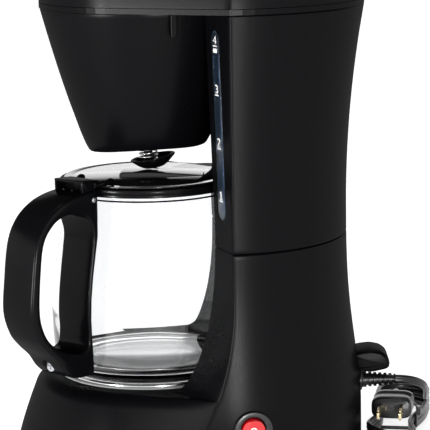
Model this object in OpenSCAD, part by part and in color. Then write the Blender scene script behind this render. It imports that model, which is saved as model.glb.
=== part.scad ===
// Four-cup drip coffee maker: lower housing with warming plate, water column, brew head,
// top lid, spring drip valve and a glass carafe with a strap handle.
// Millimetres, +Z up, front of the machine towards -Y, floor at Z = 0.
// The origin is the centre of the floor rectangle that the machine covers.

/* [Overall] */
// Distance of the carafe axis in front of the origin
carafe_front = 29; // [27:1:31]
// Height of the deck around the warming plate
deck_z = 50; // [46:1:54]
// Height of the seam between lower housing and water column
seam_z = 131; // [126:1:136]
// Height of the top of the water column
column_top = 262; // [258:1:266]
// Height of the closed lid's crown
crown_z = 280; // [277:1:284]

/* [Walls] */
// Wall thickness of the moulded housings
wall = 2.4; // [2:0.2:3]
// Gap between pieces that only meet
gap = 0.3; // [0.2:0.1:0.5]
// Radial clearance of a turning pin
run_gap = 0.05; // [0.02:0.01:0.1]

/* [Base] */
// Front radius of the foot, about the carafe axis
foot_r = 80; // [78:1:82]
// Front radius of the shoulder under the deck
shoulder_r = 67; // [65:1:69]
// Half width of the foot
foot_half = 84; // [82:1:86]
// Height of the rubber feet below the housing
feet_h = 3; // [2:0.5:4]

/* [Column] */
// Half width of the column at its waist
waist_half = 76; // [74:1:78]
// Distance of the waist's back from the carafe axis
waist_back = 114; // [112:1:116]
// Height of the waist
waist_z = 145; // [140:1:150]
// Distance of the column's centre behind the carafe axis
column_c = 41; // [39:1:43]
// Radius of the recess around the carafe
recess_r = 61.5; // [61:0.5:63]
// Distance of the wing's inner edge behind the carafe axis
wing_y = 37.5; // [36:0.5:39]
// Distance of the wing's outer corner behind the carafe axis
corner_y = 47.5; // [46:0.5:49]

/* [Brew head] */
// Height of the underside of the brew bowl
bowl_z = 181; // [179:1:183]
// Radius of the bowl's flat underside
bowl_foot_r = 33; // [31:1:35]
// Radius of the bowl at its rim
bowl_r = 60; // [59:0.5:61]

/* [Carafe] */
// Largest radius of the glass
glass_r = 58; // [57:0.5:59]
// Outer radius of the collar
collar_r = 51.5; // [51:0.5:52]
// Handle's direction, turned from the front towards the switch side
handle_turn = 46; // [40:1:50]
// Width of the strap handle
handle_w = 25.8; // [24:0.2:28]

/* [Switch] */
// Distance of the switch behind the carafe axis
switch_y = 57; // [54:1:60]
// Height of the middle of the switch
switch_z = 29; // [27:1:31]

/* [Motion] */
// Travel of the drip valve
valve_travel = 2.5; // [2:0.5:3]

/* [Hidden] */
$fn = 96;

cy = -carafe_front;

// ---- helper curves ----
// Smooth step from 0 to 1
function ease(v) = let (u = min(max(v, 0), 1)) u * u * (3 - 2 * u);

// Closed Catmull-Rom curve through the points, n steps a span
function curve_at(a, b, c, d, t) =
    0.5 * (2 * b + (c - a) * t + (2 * a - 5 * b + 4 * c - d) * t * t
    + (3 * b - a - 3 * c + d) * t * t * t);
function closed_curve(p, n) = let (m = len(p))
    [for (i = [0:m - 1], k = [0:n - 1])
        curve_at(p[(i + m - 1) % m], p[i], p[(i + 1) % m], p[(i + 2) % m], k / n)];
function open_curve(p, n) = let (m = len(p))
    concat([for (i = [0:m - 2], k = [0:n - 1])
        curve_at(p[max(i - 1, 0)], p[i], p[i + 1], p[min(i + 2, m - 1)], k / n)], [p[m - 1]]);

// ---- the housing's shape, measured about the carafe axis ----
// Distance of the back, the sides and the front from their centres at height z
function above(z) = pow(max(z - waist_z, 0) / (column_top - waist_z), 2);
function below(z) = ease(pow(max(waist_z - z, 0) / 115, 1.6));
back_flare = 11;
side_flare = 5;
function back_r(z) = waist_back - column_c + back_flare * above(z) + 8 * below(z);
function half_w(z) = waist_half + side_flare * above(z) + (foot_half - waist_half) * below(z);
// The foot's lowest 8 mm are upright, then the front leans back to a rounded shoulder
shoulder_drop = 6;
function lean(z) = pow(max(z - 8, 0) / (deck_z - 11), 1.2);
function round_off(z) = let (u = max(z - deck_z + shoulder_drop, 0) / shoulder_drop)
    7 * (1 - sqrt(max(1 - u * u, 0)));
function front_r(z) = foot_r - (foot_r - shoulder_r) * lean(z) - round_off(z);
// The crease between side and front sweeps forwards below the column
sweep_z = 104;
function crease(z) = corner_y - 17 * pow(max(sweep_z - z, 0) / 72, 2);
// The wing's inner edge follows a quarter ellipse down to the deck
// and leans forwards towards the top
function wing(z) = let (t = min(max(seam_z - z, 0) / (seam_z - deck_z + 1), 1))
    wing_y - 28 * (1 - sqrt(max(1 - t * t, 0))) - 3.5 * max(z - waist_z, 0) / (column_top - waist_z);

n_side = 36;
n_face = 3;
n_front = 26;
n_recess = 18;
// Points from the right corner round the back to the left corner, inset by w
function side_arc(z, w) = let (b = back_r(z) - w, a = half_w(z) - w,
    t0 = asin((crease(z) + 0.4 * w - column_c) / b))
    [for (i = [0:n_side]) let (t = t0 + (180 - 2 * t0) * i / n_side)
        [(t < 0 ? 1 : t > 180 ? -1 : cos(t)) * a, column_c + b * sin(t), z]];
function mix(p, q, n) = [for (i = [1:n]) p + (q - p) * i / (n + 1)];
// Outline of the base: side arc, straight flanks and a round front
function base_ring(z, w) = let (s = side_arc(z, w), r = front_r(z) - w, c = s[0],
    far = norm([c[0], c[1]]), t = atan2(c[1], c[0]) - acos(r / far),
    front = [for (i = [0:n_front]) let (u = 180 - t + (180 + 2 * t) * i / n_front)
        [r * cos(u), r * sin(u), z]])
    concat(s, mix(s[n_side], front[0], n_face), front, mix(front[n_front], c, n_face));
// Outline of the column: side arc, wing faces and the recess
function column_ring(z, w) = let (s = side_arc(z, w), r = recess_r + w, y = wing(z) + 1.1 * w,
    t = acos(y / r),
    rec = [for (i = [0:n_recess]) let (u = 90 + t - 2 * t * i / n_recess)
        [r * cos(u), r * sin(u), z]])
    concat(s, mix(s[n_side], rec[0], n_face), rec, mix(rec[n_recess], s[0], n_face));

// Solid between two stacks of rings that share a point count; inner may be empty
function band(o, n, m) = [for (k = [0:m - 2], i = [0:n - 1])
    [o + k * n + i, o + (k + 1) * n + i, o + (k + 1) * n + (i + 1) % n, o + k * n + (i + 1) % n]];
function cap(o, n) = [[for (i = [0:n - 1]) o + i]];
function turned(f) = [for (x = f) [for (i = [len(x) - 1:-1:0]) x[i]]];
function flat(rings) = [for (r = rings) each r];
module solid_loft(rings) {
    n = len(rings[0]);
    m = len(rings);
    polyhedron(flat(rings), concat(band(0, n, m), cap(0, n), turned(cap((m - 1) * n, n))));
}
// Tube: open at both ends
module tube_loft(outer, inner) {
    n = len(outer[0]);
    m = len(outer);
    o2 = m * n;
    foot = [for (i = [0:n - 1]) [i, (i + 1) % n, o2 + (i + 1) % n, o2 + i]];
    top = [for (i = [0:n - 1]) let (a = (m - 1) * n, b = o2 + (m - 1) * n)
        [a + i, b + i, b + (i + 1) % n, a + (i + 1) % n]];
    polyhedron(concat(flat(outer), flat(inner)),
        concat(band(0, n, m), turned(band(o2, n, m)), foot, top));
}
// Cup: open below, with a roof that meets at a middle point
function middle(ring, y) = [0, y, ring[0][2]];
function fan(o, n, c) = [for (i = [0:n - 1]) [o + i, o + (i + 1) % n, c]];
module cup_loft(outer, inner, mid_y) {
    n = len(outer[0]);
    m = len(outer);
    q = len(inner);
    o2 = m * n;
    tip = o2 + q * n;
    foot = [for (i = [0:n - 1]) [i, (i + 1) % n, o2 + (i + 1) % n, o2 + i]];
    tips = [middle(outer[m - 1], mid_y), middle(inner[q - 1], mid_y)];
    polyhedron(concat(flat(outer), flat(inner), tips),
        concat(band(0, n, m), turned(band(o2, n, q)), foot,
            turned(fan((m - 1) * n, n, tip)), fan(o2 + (q - 1) * n, n, tip + 1)));
}

module at_carafe() translate([0, cy, 0]) children();
module cylinder_z(z0, z1, r) translate([0, 0, z0]) cylinder(h = z1 - z0, r = r);

// ---- lower housing ----
base_z = [feet_h, 8, 14, 21, 28, 35, 40, 44, 46, 48, 49, 50];
base_in_z = [feet_h, 14, 28, 40, 44, 47];
low_z = [deck_z - 1, 51, 52.5, 55, 58, 62, 67, 73, 80, 89, 99, 110, 121, seam_z - gap];
plate_well_r = 53;
switch_turn = 11;
switch_x = 82.3;
switch_half = 4.4;
opening_r = 9.6;
// Frame of the switch: +X outwards, +Z up
module at_switch() {
    translate([switch_x, cy + switch_y, switch_z]) rotate([0, 0, switch_turn]) children();
}
// Upright slot with round ends, extruded along +X from x0
module slot_x(x0, depth, r, half) {
    translate([x0, 0, 0]) rotate([90, 0, 90]) linear_extrude(depth) {
        square([2 * r, 2 * half], center = true);
        translate([0, half]) circle(r);
        translate([0, -half]) circle(r);
    }
}
relief_at = [-12, 121.4, 37];
relief_r = 4.6;
// Frame of the cord's exit: +Y outwards through the back wall
module at_exit() at_carafe() translate(relief_at) children();
// Hood above the cord's exit, along X, in the plane of Y and Z about the exit
hood_side = [[-4, 7.6], [8, 7], [15, 8.4], [17.6, 9.6], [18, 13], [16.6, 16.6], [13, 19.4], [7, 20.6],
    [0, 19.8], [-4, 18.4]];
hood_w = 24;
module base_housing() {
    color("#161617") {
        difference() {
            at_carafe()
                cup_loft([for (z = base_z) base_ring(z, 0)], [for (z = base_in_z) base_ring(z, wall)],
                    lid_mid);
            translate([0, cy, deck_z - 4]) cylinder(h = 8, r = plate_well_r);
            translate([0, cy + 72, deck_z - 4]) cylinder(h = 8, r = 14);
            for (x = [cold_x, hot_x])
                translate([x, cy + port_y, deck_z - 4]) cylinder(h = 8, r = hose_r + 0.5);
            at_switch() slot_x(-8, 16, opening_r, switch_half);
            at_exit() translate([0, -8, 0]) rotate([-90, 0, 0]) cylinder(h = 16, r = relief_r);
        }
        at_carafe()
            tube_loft([for (z = low_z) column_ring(z, 0)], [for (z = low_z) column_ring(z, wall)]);
        at_exit() translate([-hood_w / 2, 0, 0]) rotate([90, 0, 90])
            linear_extrude(hood_w) polygon(hood_side);
    }
}

cover_z = feet_h + 0.5;
cover_t = 2;
foot_spots = [[-52, -40], [52, -40], [-52, 66], [52, 66]];
screw_spots = [[-60, 0], [60, 0], [-38, 92], [38, 92]];
module bottom_cover() {
    color("#1b1b1c") at_carafe() difference() {
        translate([0, 0, cover_z]) linear_extrude(cover_t)
            polygon([for (p = base_ring(feet_h, wall + gap)) [p[0], p[1]]]);
        for (p = screw_spots) translate([p[0], p[1], 0]) cylinder(h = 12, r = 1.8);
        for (p = foot_spots) translate([p[0], p[1], 0]) cylinder(h = 12, r = 3);
        for (x = [-24:8:24]) translate([x - 1.5, 18, 0]) cube([3, 32, 12]);
    }
}
module rubber_feet() {
    color("#2a2a2a") at_carafe() for (p = foot_spots) translate([p[0], p[1], 0]) {
        difference() {
            cylinder(h = cover_z, r1 = 7, r2 = 8);
            cylinder(h = 1, r = 3);
        }
        translate([0, 0, cover_z - 0.5]) cylinder(h = cover_t + 0.5, r = 2.9);
        translate([0, 0, cover_z + cover_t]) cylinder(h = 1.5, r1 = 4.2, r2 = 2.6);
    }
}
module pan_screw(head_r, head_h, shank_r, shank_h) {
    difference() {
        cylinder(h = head_h, r = head_r);
        for (a = [0, 90]) rotate([0, 0, a])
            translate([-0.5, -head_r * 0.6, -1]) cube([1, head_r * 1.2, 1.8]);
    }
    translate([0, 0, head_h]) cylinder(h = shank_h, r = shank_r);
}
module base_screws() {
    color("silver") at_carafe() for (p = screw_spots)
        translate([p[0], p[1], cover_z - 1.8]) pan_screw(3.2, 1.8, 1.7, 9);
}

// ---- heating ----
plate_top = 52.6;
plate_r = 51.8;
module warming_plate() {
    color("#5a5a5c") at_carafe() rotate_extrude() difference() {
        polygon([[0, deck_z - 0.6], [plate_r - 4, deck_z - 0.6], [plate_r - 1, deck_z - 1.6],
            [plate_r - 1, deck_z - 4], [plate_r, deck_z - 4], [plate_r, deck_z + 1.4],
            [plate_r - 1.6, plate_top], [40, plate_top], [38.5, plate_top - 0.6], [36, plate_top - 0.6],
            [34.5, plate_top], [0, plate_top]]);
        translate([0, deck_z - 0.7]) square([30, 1.3]);
    }
}
module plate_seal() {
    color("#3b3b3d") at_carafe() rotate_extrude() {
        polygon([[plate_r + 0.2, deck_z - 3.4], [plate_well_r - 0.2, deck_z - 3.4],
            [plate_well_r - 0.2, deck_z + 0.2], [plate_well_r + 1.4, deck_z + 0.2],
            [plate_well_r + 1, deck_z + 0.8], [plate_r + 0.2, deck_z + 0.9]]);
    }
}
element_z = deck_z - 7.4;
element_r = 30;
element_leg = 36;
tube_drop = 13;
// Run of a horseshoe with a section of the caller's shape at the origin
module horseshoe(leg) {
    rotate([0, 0, 180]) rotate_extrude(angle = 180) translate([element_r, 0]) children();
    for (x = [-element_r, element_r])
        translate([x, leg, 0]) rotate([90, 0, 0]) linear_extrude(leg) children();
}
module heating_element() {
    color("#a5a6a8") at_carafe() translate([0, 0, element_z]) {
        horseshoe(element_leg - 8) circle(5.6);
        horseshoe(element_leg - 8) translate([-2, -tube_drop]) square([4, tube_drop]);
        translate([0, 0, -tube_drop]) horseshoe(element_leg) circle(4.4);
    }
}
bracket_z = element_z - 21;
module heater_bracket() {
    color("#8d8e90") at_carafe() {
        difference() {
            translate([-48, -9, bracket_z]) cube([96, 18, 2]);
            for (x = [-43, 43]) translate([x, 0, bracket_z - 1]) cylinder(h = 4, r = 1.9);
            translate([0, 0, bracket_z - 1]) cylinder(h = 4, r = 8.2);
        }
    }
}
module bracket_screws() {
    color("silver") at_carafe() for (x = [-43, 43])
        translate([x, 0, bracket_z - 2]) pan_screw(3.2, 1.8, 1.8, 14);
}
module thermostat() {
    color("#c9c9c4") at_carafe() {
        translate([0, 0, bracket_z - 8]) cylinder(h = 15, r = 8);
        for (x = [-4, 4]) translate([x - 0.4, -3, bracket_z - 13]) cube([0.8, 6, 6]);
    }
}
module thermal_fuse() {
    color("#d8d2c4") at_carafe() translate([-5.5, -14, bracket_z + 5]) rotate([0, 90, 0]) {
        cylinder(h = 11, r = 2);
        translate([0, 0, -5]) cylinder(h = 21, r = 0.6);
    }
}

// ---- water path ----
cold_x = element_r;
hot_x = -element_r;
port_y = 84;
port_r = 4;
hose_z = element_z - tube_drop;
hose_r = 5.2;
floor_z = seam_z + 0.5;
module hose(x, top) {
    r = hose_r;
    start = element_leg + 0.2;
    bend = 14;
    translate([x, start, hose_z]) rotate([-90, 0, 0]) cylinder(h = port_y - start - bend, r = r);
    translate([x, port_y - bend, hose_z + bend]) rotate([0, 90, 0]) rotate_extrude(angle = 90)
        translate([bend, 0]) circle(r);
    translate([x, port_y, hose_z + bend]) cylinder(h = top - hose_z - bend, r = r);
}
module cold_hose() {
    color("#d9d7d0") at_carafe() difference() {
        hose(cold_x, floor_z - 14);
        translate([cold_x, port_y, floor_z - 26]) cylinder(h = 14, r = port_r - 0.2);
    }
}
module hot_hose() {
    color("#d9d7d0") at_carafe() difference() {
        hose(hot_x, floor_z - 14);
        translate([hot_x, port_y, floor_z - 26]) cylinder(h = 14, r = port_r - 0.2);
    }
}
module check_valve() {
    color("#e8e8e8") at_carafe() translate([cold_x, port_y, floor_z - 13.8]) {
        difference() {
            union() {
                cylinder(h = 3, r = 5.2);
                cylinder(h = 9, r = 3.6);
            }
            translate([0, 0, -1]) cylinder(h = 12, r = 1.6);
        }
    }
}
module wire(x, y0, y1, z, r) translate([x, y0, z]) rotate([-90, 0, 0]) cylinder(h = y1 - y0, r = r);
module wiring() {
    color("#b03a2e") at_carafe() {
        wire(4, 3.8, 100, bracket_z - 11, 1.1);
        wire(-4, 3.8, 100, bracket_z - 11, 1.1);
        translate([66, 20, switch_z - 2]) rotate([-90, 0, 0]) cylinder(h = 22, r = 1.1);
    }
}

// ---- power switch ----
module switch_bezel() {
    color("#1f1f20") at_switch() difference() {
        union() {
            slot_x(0.4, 1.8, opening_r + 1.4, switch_half);
            slot_x(-5, 5.4, opening_r - gap, switch_half);
        }
        slot_x(-6, 12, 6.9, switch_half + 0.8);
        across(pivot_x, 0, pivot_r + run_gap, 8.8);
    }
}
module switch_body() {
    color("#2b2b2d") at_switch() {
        difference() {
            slot_x(-22, 16.6, opening_r - gap, switch_half);
            slot_x(-17, 12, 7.1, switch_half + 1);
        }
        for (z = [-7, 0, 7]) translate([-30, -2.4, z - 0.4]) cube([8, 4.8, 0.8]);
    }
}
rocker_tilt = 9;
rocker_r = 6.6;
// Distance of the rocker's pivot behind the housing's face, and the reach of its ends about it
pivot_x = -2.5;
pivot_r = 1.2;
rocker_reach = 11.7;
module at_rocker() {
    at_switch() translate([pivot_x, 0, 0]) rotate([0, rocker_tilt, 0])
        translate([-pivot_x, 0, 0]) children();
}
module across(x, z, r, half) {
    translate([x, 0, z]) rotate([90, 0, 0]) translate([0, 0, -half]) cylinder(h = 2 * half, r = r);
}
module switch_rocker() {
    color("#c3151b") at_rocker() {
        difference() {
            intersection() {
                slot_x(-9, 13.2, rocker_r, switch_half + 0.6);
                across(pivot_x, 0, rocker_reach, 10);
                across(-36, 0, 38.6, 10);
            }
            for (s = [-1, 1]) across(23.4, s * 10, 22.2, 10);
        }
        across(pivot_x, 0, pivot_r, 8.5);
    }
}
module switch_marks() {
    color("white") at_rocker() {
        translate([2.35, 0, 5.4]) rotate([0, 90, 0]) difference() {
            cylinder(h = 0.5, r = 1.9);
            translate([0, 0, -1]) cylinder(h = 3, r = 1.2);
        }
        translate([2.35, -0.35, -7.2]) cube([0.5, 0.7, 3.8]);
    }
}

// ---- water column ----
shell_z = [seam_z, 138, 145, 160, 175, 190, 205, 220, 235, 249, column_top];
window_bottom = 147.5;
window_top = 253;
window_half = 5.2;
face_mid = [61.2, 40.9, 195];
face_turn = -67.5;
face_lean = 1.5;
// Frame of the wing's front face on the switch side: +X outwards
module at_window() {
    translate([face_mid[0], cy + face_mid[1], face_mid[2]]) rotate([0, 0, face_turn])
        rotate([0, face_lean, 0]) translate([0, 0, -face_mid[2]]) children();
}
module window_slot(x0, depth, r) {
    translate([0, 0, (window_top + window_bottom) / 2])
        slot_x(x0, depth, r, (window_top - window_bottom) / 2 - window_half);
}
module column_shell() {
    color("#161617") difference() {
        at_carafe()
            tube_loft([for (z = shell_z) column_ring(z, 0)], [for (z = shell_z) column_ring(z, wall)]);
        at_window() window_slot(-8, 14, window_half);
    }
}
module tank_floor() {
    color("#222223") at_carafe() {
        difference() {
            translate([0, 0, floor_z]) linear_extrude(2.2)
                polygon([for (p = column_ring(floor_z, wall + gap)) [p[0], p[1]]]);
            for (x = [cold_x, hot_x]) translate([x, port_y, floor_z - 1]) cylinder(h = 5, r = port_r - 0.4);
        }
        difference() {
            translate([cold_x, port_y, floor_z - 4.4]) cylinder(h = 4.4, r = port_r + 1.2);
            translate([cold_x, port_y, floor_z - 5]) cylinder(h = 6, r = port_r - 0.4);
        }
    }
}
module floor_gasket() {
    color("#b9b7b0") at_carafe() translate([0, 0, floor_z + 2.2]) linear_extrude(1.6) difference() {
        polygon([for (p = column_ring(floor_z, wall + gap)) [p[0], p[1]]]);
        polygon([for (p = column_ring(floor_z, wall + gap + 2.5)) [p[0], p[1]]]);
    }
}
module water_window() {
    color([0.45, 0.55, 0.62, 0.6]) at_window() {
        window_slot(-2.3, 2.5, window_half - 0.15);
        difference() {
            window_slot(-3.9, 1.4, window_half + 1.2);
            window_slot(-5, 1.5, window_half - 2);
        }
    }
}
// Heights of the four cup ticks; a block below the last shows the most the tank takes
cup_ticks = [158, 187.5, 217, 244];
block_drop = 3.4;
module window_marks() {
    color("white") at_window() {
        for (z = cup_ticks) translate([0.2, -2.6, z]) cube([0.15, 5.2, 0.7]);
        translate([0.2, -2.6, cup_ticks[3] - block_drop]) cube([0.15, 5.2, 2.4]);
    }
}
spout_z = 269.6;
module riser_tube() {
    color("#dcdcd8") at_carafe() difference() {
        union() {
            translate([hot_x, port_y, floor_z - 13.8])
                cylinder(h = spout_z - floor_z + 13.8, r = port_r - 0.45);
            translate([hot_x, port_y, spout_z]) sphere(port_r);
            translate([hot_x, port_y, spout_z]) rotate([0, 0, atan2(-port_y, -hot_x)])
                rotate([0, 90, 0]) cylinder(h = 22, r = port_r - 0.7);
        }
        translate([hot_x, port_y, floor_z - 15]) cylinder(h = spout_z - floor_z + 15, r = 2.2);
    }
}

// ---- brew head ----
// Radius of the bowl at height z: steep above, tucked in below
function bowl_at(z) = let (t = (z - bowl_z) / (column_top - bowl_z))
    bowl_foot_r + (bowl_r - bowl_foot_r) * pow(t, 0.78);
bowl_steps = 10;
function bowl_side(w, lift) = [for (i = [0:bowl_steps])
    let (z = bowl_z + lift + (column_top - bowl_z - lift) * i / bowl_steps) [bowl_at(z) - w, z]];
drip_r = 5;
seal_t = 1.4;
flange_t = 1.6;
flange_z = bowl_z + wall + seal_t + 0.1 + gap;
// The basket stands clear of the raised valve
basket_z = flange_z + flange_t + valve_travel + 0.7;
basket_t = 1.8;
module brew_bowl() {
    color("#161617") at_carafe() difference() {
        rotate_extrude() difference() {
            polygon(concat([[0, bowl_z], [bowl_foot_r - 1.5, bowl_z]], bowl_side(0, 1.2), [[0, column_top]]));
            polygon(concat([[0, bowl_z + wall]], bowl_side(wall, wall), [[0, column_top]]));
        }
        translate([0, 0, bowl_z - 1]) cylinder(h = 6, r = drip_r);
    }
}
module filter_basket() {
    color("#242425") at_carafe() difference() {
        rotate_extrude() difference() {
            polygon([[0, basket_z], [28, basket_z], [52, column_top - 5.5], [55, column_top - 5.5],
                [55, column_top - 4], [0, column_top - 4]]);
            polygon([[0, basket_z + basket_t], [26.6, basket_z + basket_t], [50.6, column_top - 4],
                [0, column_top - 4]]);
        }
        for (a = [0:45:315]) rotate([0, 0, a]) translate([14, 0, basket_z - 2]) cylinder(h = 6, r = 3);
        translate([0, 0, basket_z - 2]) cylinder(h = 6, r = 3);
    }
}
mesh_z = basket_z + basket_t + 0.6;
module mesh_filter() {
    color("#c9c4a8") at_carafe() rotate_extrude() difference() {
        polygon([[0, mesh_z], [26, mesh_z], [49, column_top - 8], [49.2, column_top - 6.4],
            [0, column_top - 6.4]]);
        polygon([[0, mesh_z + 1], [25.2, mesh_z + 1], [47.8, column_top - 6.4], [0, column_top - 6.4]]);
    }
}
module shower_spout() {
    color("#242425") at_carafe() rotate([0, 0, atan2(-port_y, -hot_x)]) {
        a = norm([port_y, hot_x]);
        translate([22.3 - a, 0, spout_z]) rotate([0, 90, 0]) cylinder(h = a - 22.3, r = port_r - 0.4);
        translate([0, 0, spout_z - 10.6]) cylinder(h = 14.8, r = port_r + 0.6);
    }
}
frame_t = 3;
frame_z = column_top + gap;
// Outline of the head: column back and a round front
function head_ring(z, w) = let (s = [for (p = side_arc(column_top, w)) [p[0], p[1], z]],
    r = bowl_r + 0.4 - w, c = s[0],
    t = atan2(c[1], c[0]) - acos(r / norm([c[0], c[1]])),
    front = [for (i = [0:n_front]) let (u = 180 - t + (180 + 2 * t) * i / n_front)
        [r * cos(u), r * sin(u), z]])
    concat(s, mix(s[n_side], front[0], n_face), front, mix(front[n_front], c, n_face));
hinge_y = 118.5;
hinge_z = 272.5;
ear_x = 11.5;
ear_t = 5.5;
pin_r = 1.8;
ear_r = 3.8;
module top_frame() {
    color("#161617") at_carafe() {
        difference() {
            translate([0, 0, frame_z]) linear_extrude(frame_t)
                polygon([for (p = head_ring(0, 0)) [p[0], p[1]]]);
            translate([0, 0, frame_z - 1]) cylinder(h = frame_t + 2, r = 56);
            translate([-52, 58.5, frame_z - 1]) cube([104, 42, frame_t + 2]);
            for (x = [-60, 60]) translate([x, 66, frame_z - 1]) cylinder(h = frame_t + 2, r = 1.3 + run_gap);
        }
        for (s = [-1, 1]) difference() {
            translate([s * (ear_x + ear_t / 2) - ear_t / 2, hinge_y, 0]) {
                translate([0, 0, hinge_z]) rotate([0, 90, 0]) cylinder(h = ear_t, r = ear_r);
                translate([0, -ear_r, frame_z + frame_t - 0.5])
                    cube([ear_t, 2 * ear_r, hinge_z - frame_z - frame_t + 0.5]);
            }
            translate([-30, hinge_y, hinge_z]) rotate([0, 90, 0]) cylinder(h = 60, r = pin_r + run_gap);
        }
    }
}
clip_r = 2.1;
clip_h = 12;
module frame_clips() {
    color("#1c1c1d") at_carafe() for (s = [-1, 1]) scale([s, 1, 1]) rotate([0, 0, 16.5])
        translate([bowl_r + 0.5, 0, frame_z - clip_h]) {
            rotate([0, 90, 0]) cylinder(h = 1.4, r = clip_r);
            translate([0, -clip_r, 0]) cube([1.4, 2 * clip_r, clip_h]);
        }
}
module frame_screws() {
    color("silver") at_carafe() for (x = [-60, 60])
        translate([x, 66, frame_z + frame_t + 1.7]) rotate([180, 0, 0]) pan_screw(2.8, 1.6, 1.3, 2);
}

// ---- lid ----
lid_z = frame_z + frame_t + gap;
lid_t = 2.2;
lid_wall_h = 6.5;
lid_edge = 6;
edge_steps = 5;
crown_steps = [0.85, 0.6, 0.3];
// Rings shrink towards the crown about the middle of the head
lid_mid = 32;
// Cut-away behind the hinge, so that the lid's back swings clear of the frame
notch_h = 4.6;
lid_rise = crown_z - lid_z - lid_wall_h - lid_edge;
function lid_rings(w, drop) = concat([head_ring(lid_z, w)],
    [for (i = [0:edge_steps]) let (a = 90 * i / edge_steps)
        head_ring(lid_z + lid_wall_h + (lid_edge - drop) * sin(a), w + lid_edge * (1 - cos(a)))],
    [for (k = crown_steps) [for (p = head_ring(crown_z - drop - lid_rise * k * k, w + lid_edge))
        [p[0] * k, lid_mid + (p[1] - lid_mid) * k, p[2]]]]);
module top_lid() {
    color("#161617") at_carafe() difference() {
        cup_loft(lid_rings(0, 0), lid_rings(lid_t, lid_t), lid_mid);
        for (s = [-1, 1]) translate([s * (ear_x + ear_t / 2) - ear_t / 2 - 0.6, hinge_y, hinge_z]) {
            rotate([0, 90, 0]) cylinder(h = ear_t + 1.2, r = ear_r + 0.5);
            translate([0, 0, lid_z - hinge_z - 1]) cube([ear_t + 1.2, 8, hinge_z - lid_z + 1 + ear_r + 0.5]);
        }
        translate([-40, hinge_y - 0.3, lid_z - 1]) cube([80, 10, notch_h + 1]);
    }
}
arm_x = ear_x + ear_t + 0.8;
module lid_pins() {
    color("#8f9092") at_carafe() for (s = [-1, 1]) scale([s, 1, 1]) {
        translate([ear_x - 1, hinge_y, hinge_z]) rotate([0, 90, 0])
            cylinder(h = arm_x + 4 - ear_x + 1, r = pin_r);
        translate([arm_x, hinge_y, hinge_z]) rotate([0, 90, 0]) cylinder(h = 4, r = 3);
        translate([arm_x, hinge_y - 10, hinge_z - 2]) cube([4, 10, 5.6]);
    }
}

// ---- drip valve ----
cup_tilt = 10;
// The cup hangs a little behind the stem
cup_off = 2.6;
cup_z = 175;
module drip_valve() {
    color("#1b1b1c") at_carafe() {
        cylinder_z(cup_z - 5.5, flange_z + flange_t, 2.6);
        cylinder_z(flange_z, flange_z + flange_t, 8.4);
        translate([0, cup_off, cup_z]) rotate([cup_tilt, 0, 0]) rotate_extrude()
            polygon([[0, -6.3], [5.6, -6.3], [8.2, -4.9], [13, -0.9], [13.1, 0], [11.8, 0],
                [7.4, -3.7], [0, -3.7]]);
    }
}
spring_turns = 3.5;
spring_low = 172.6;
spring_high = 180.7;
spring_n = 56;
module valve_spring() {
    r = 5.2;
    w = 0.55;
    rings = [for (i = [0:spring_n]) let (a = 360 * spring_turns * i / spring_n,
        z = spring_low + w + (spring_high - spring_low - 2 * w) * i / spring_n)
        [for (k = [0:5]) let (b = 60 * k, q = r + w * cos(b)) [q * cos(a), q * sin(a), z + w * sin(b)]]];
    color("#c9cacc") at_carafe() solid_loft(rings);
}
module valve_seal() {
    color("#b9b7b0") at_carafe() translate([0, 0, bowl_z + wall + 0.1]) difference() {
        cylinder(h = seal_t, r = 9);
        translate([0, 0, -1]) cylinder(h = 4, r = drip_r);
    }
}

// ---- carafe ----
glass_foot = plate_top + gap;
glass_side = [[49, 0], [53, 2.4], [56.4, 9], [57.6, 20], [glass_r, 34], [57.7, 46], [56, 59], [53.6, 72],
    [51.2, 84], [49.4, 93], [48.6, 100], [48.6, 108]];
module carafe_glass() {
    t = 1.8;
    side = [for (p = open_curve(glass_side, 3)) [p[0], p[1] + glass_foot]];
    color([0.9, 0.95, 0.95, 0.3]) at_carafe() rotate_extrude() polygon(concat([[0, glass_foot + 0.8],
        [44, glass_foot + 0.6], [46.5, glass_foot]], side,
        [for (i = [len(side) - 1:-1:0]) [side[i][0] - t, max(side[i][1], glass_foot + 2.6)]],
        [[0, glass_foot + 2.8]]));
}
collar_z = 158.7;
collar_top = 163.6;
module carafe_collar() {
    color("#1b1b1c") at_carafe() difference() {
        union() {
            cylinder_z(collar_z, collar_top, collar_r);
            rotate([0, 0, 90 + handle_turn]) translate([collar_r - 5, 0, collar_z + 1.2])
                linear_extrude(collar_top - collar_z - 1.2)
                    polygon([[0, -11], [0, 11], [7, 6], [12, 2.2], [12.8, 0], [12, -2.2], [7, -6]]);
        }
        cylinder_z(collar_z - 1, glass_foot + 108.3, 48.9);
        cylinder_z(collar_z - 1, collar_top + 1, 47);
    }
}
ring_z = 156;
module neck_ring() {
    color("#242425") at_carafe() difference() {
        cylinder_z(ring_z, ring_z + 1, 49.5);
        cylinder_z(ring_z - 1, ring_z + 2, 48.75);
    }
}
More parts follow.
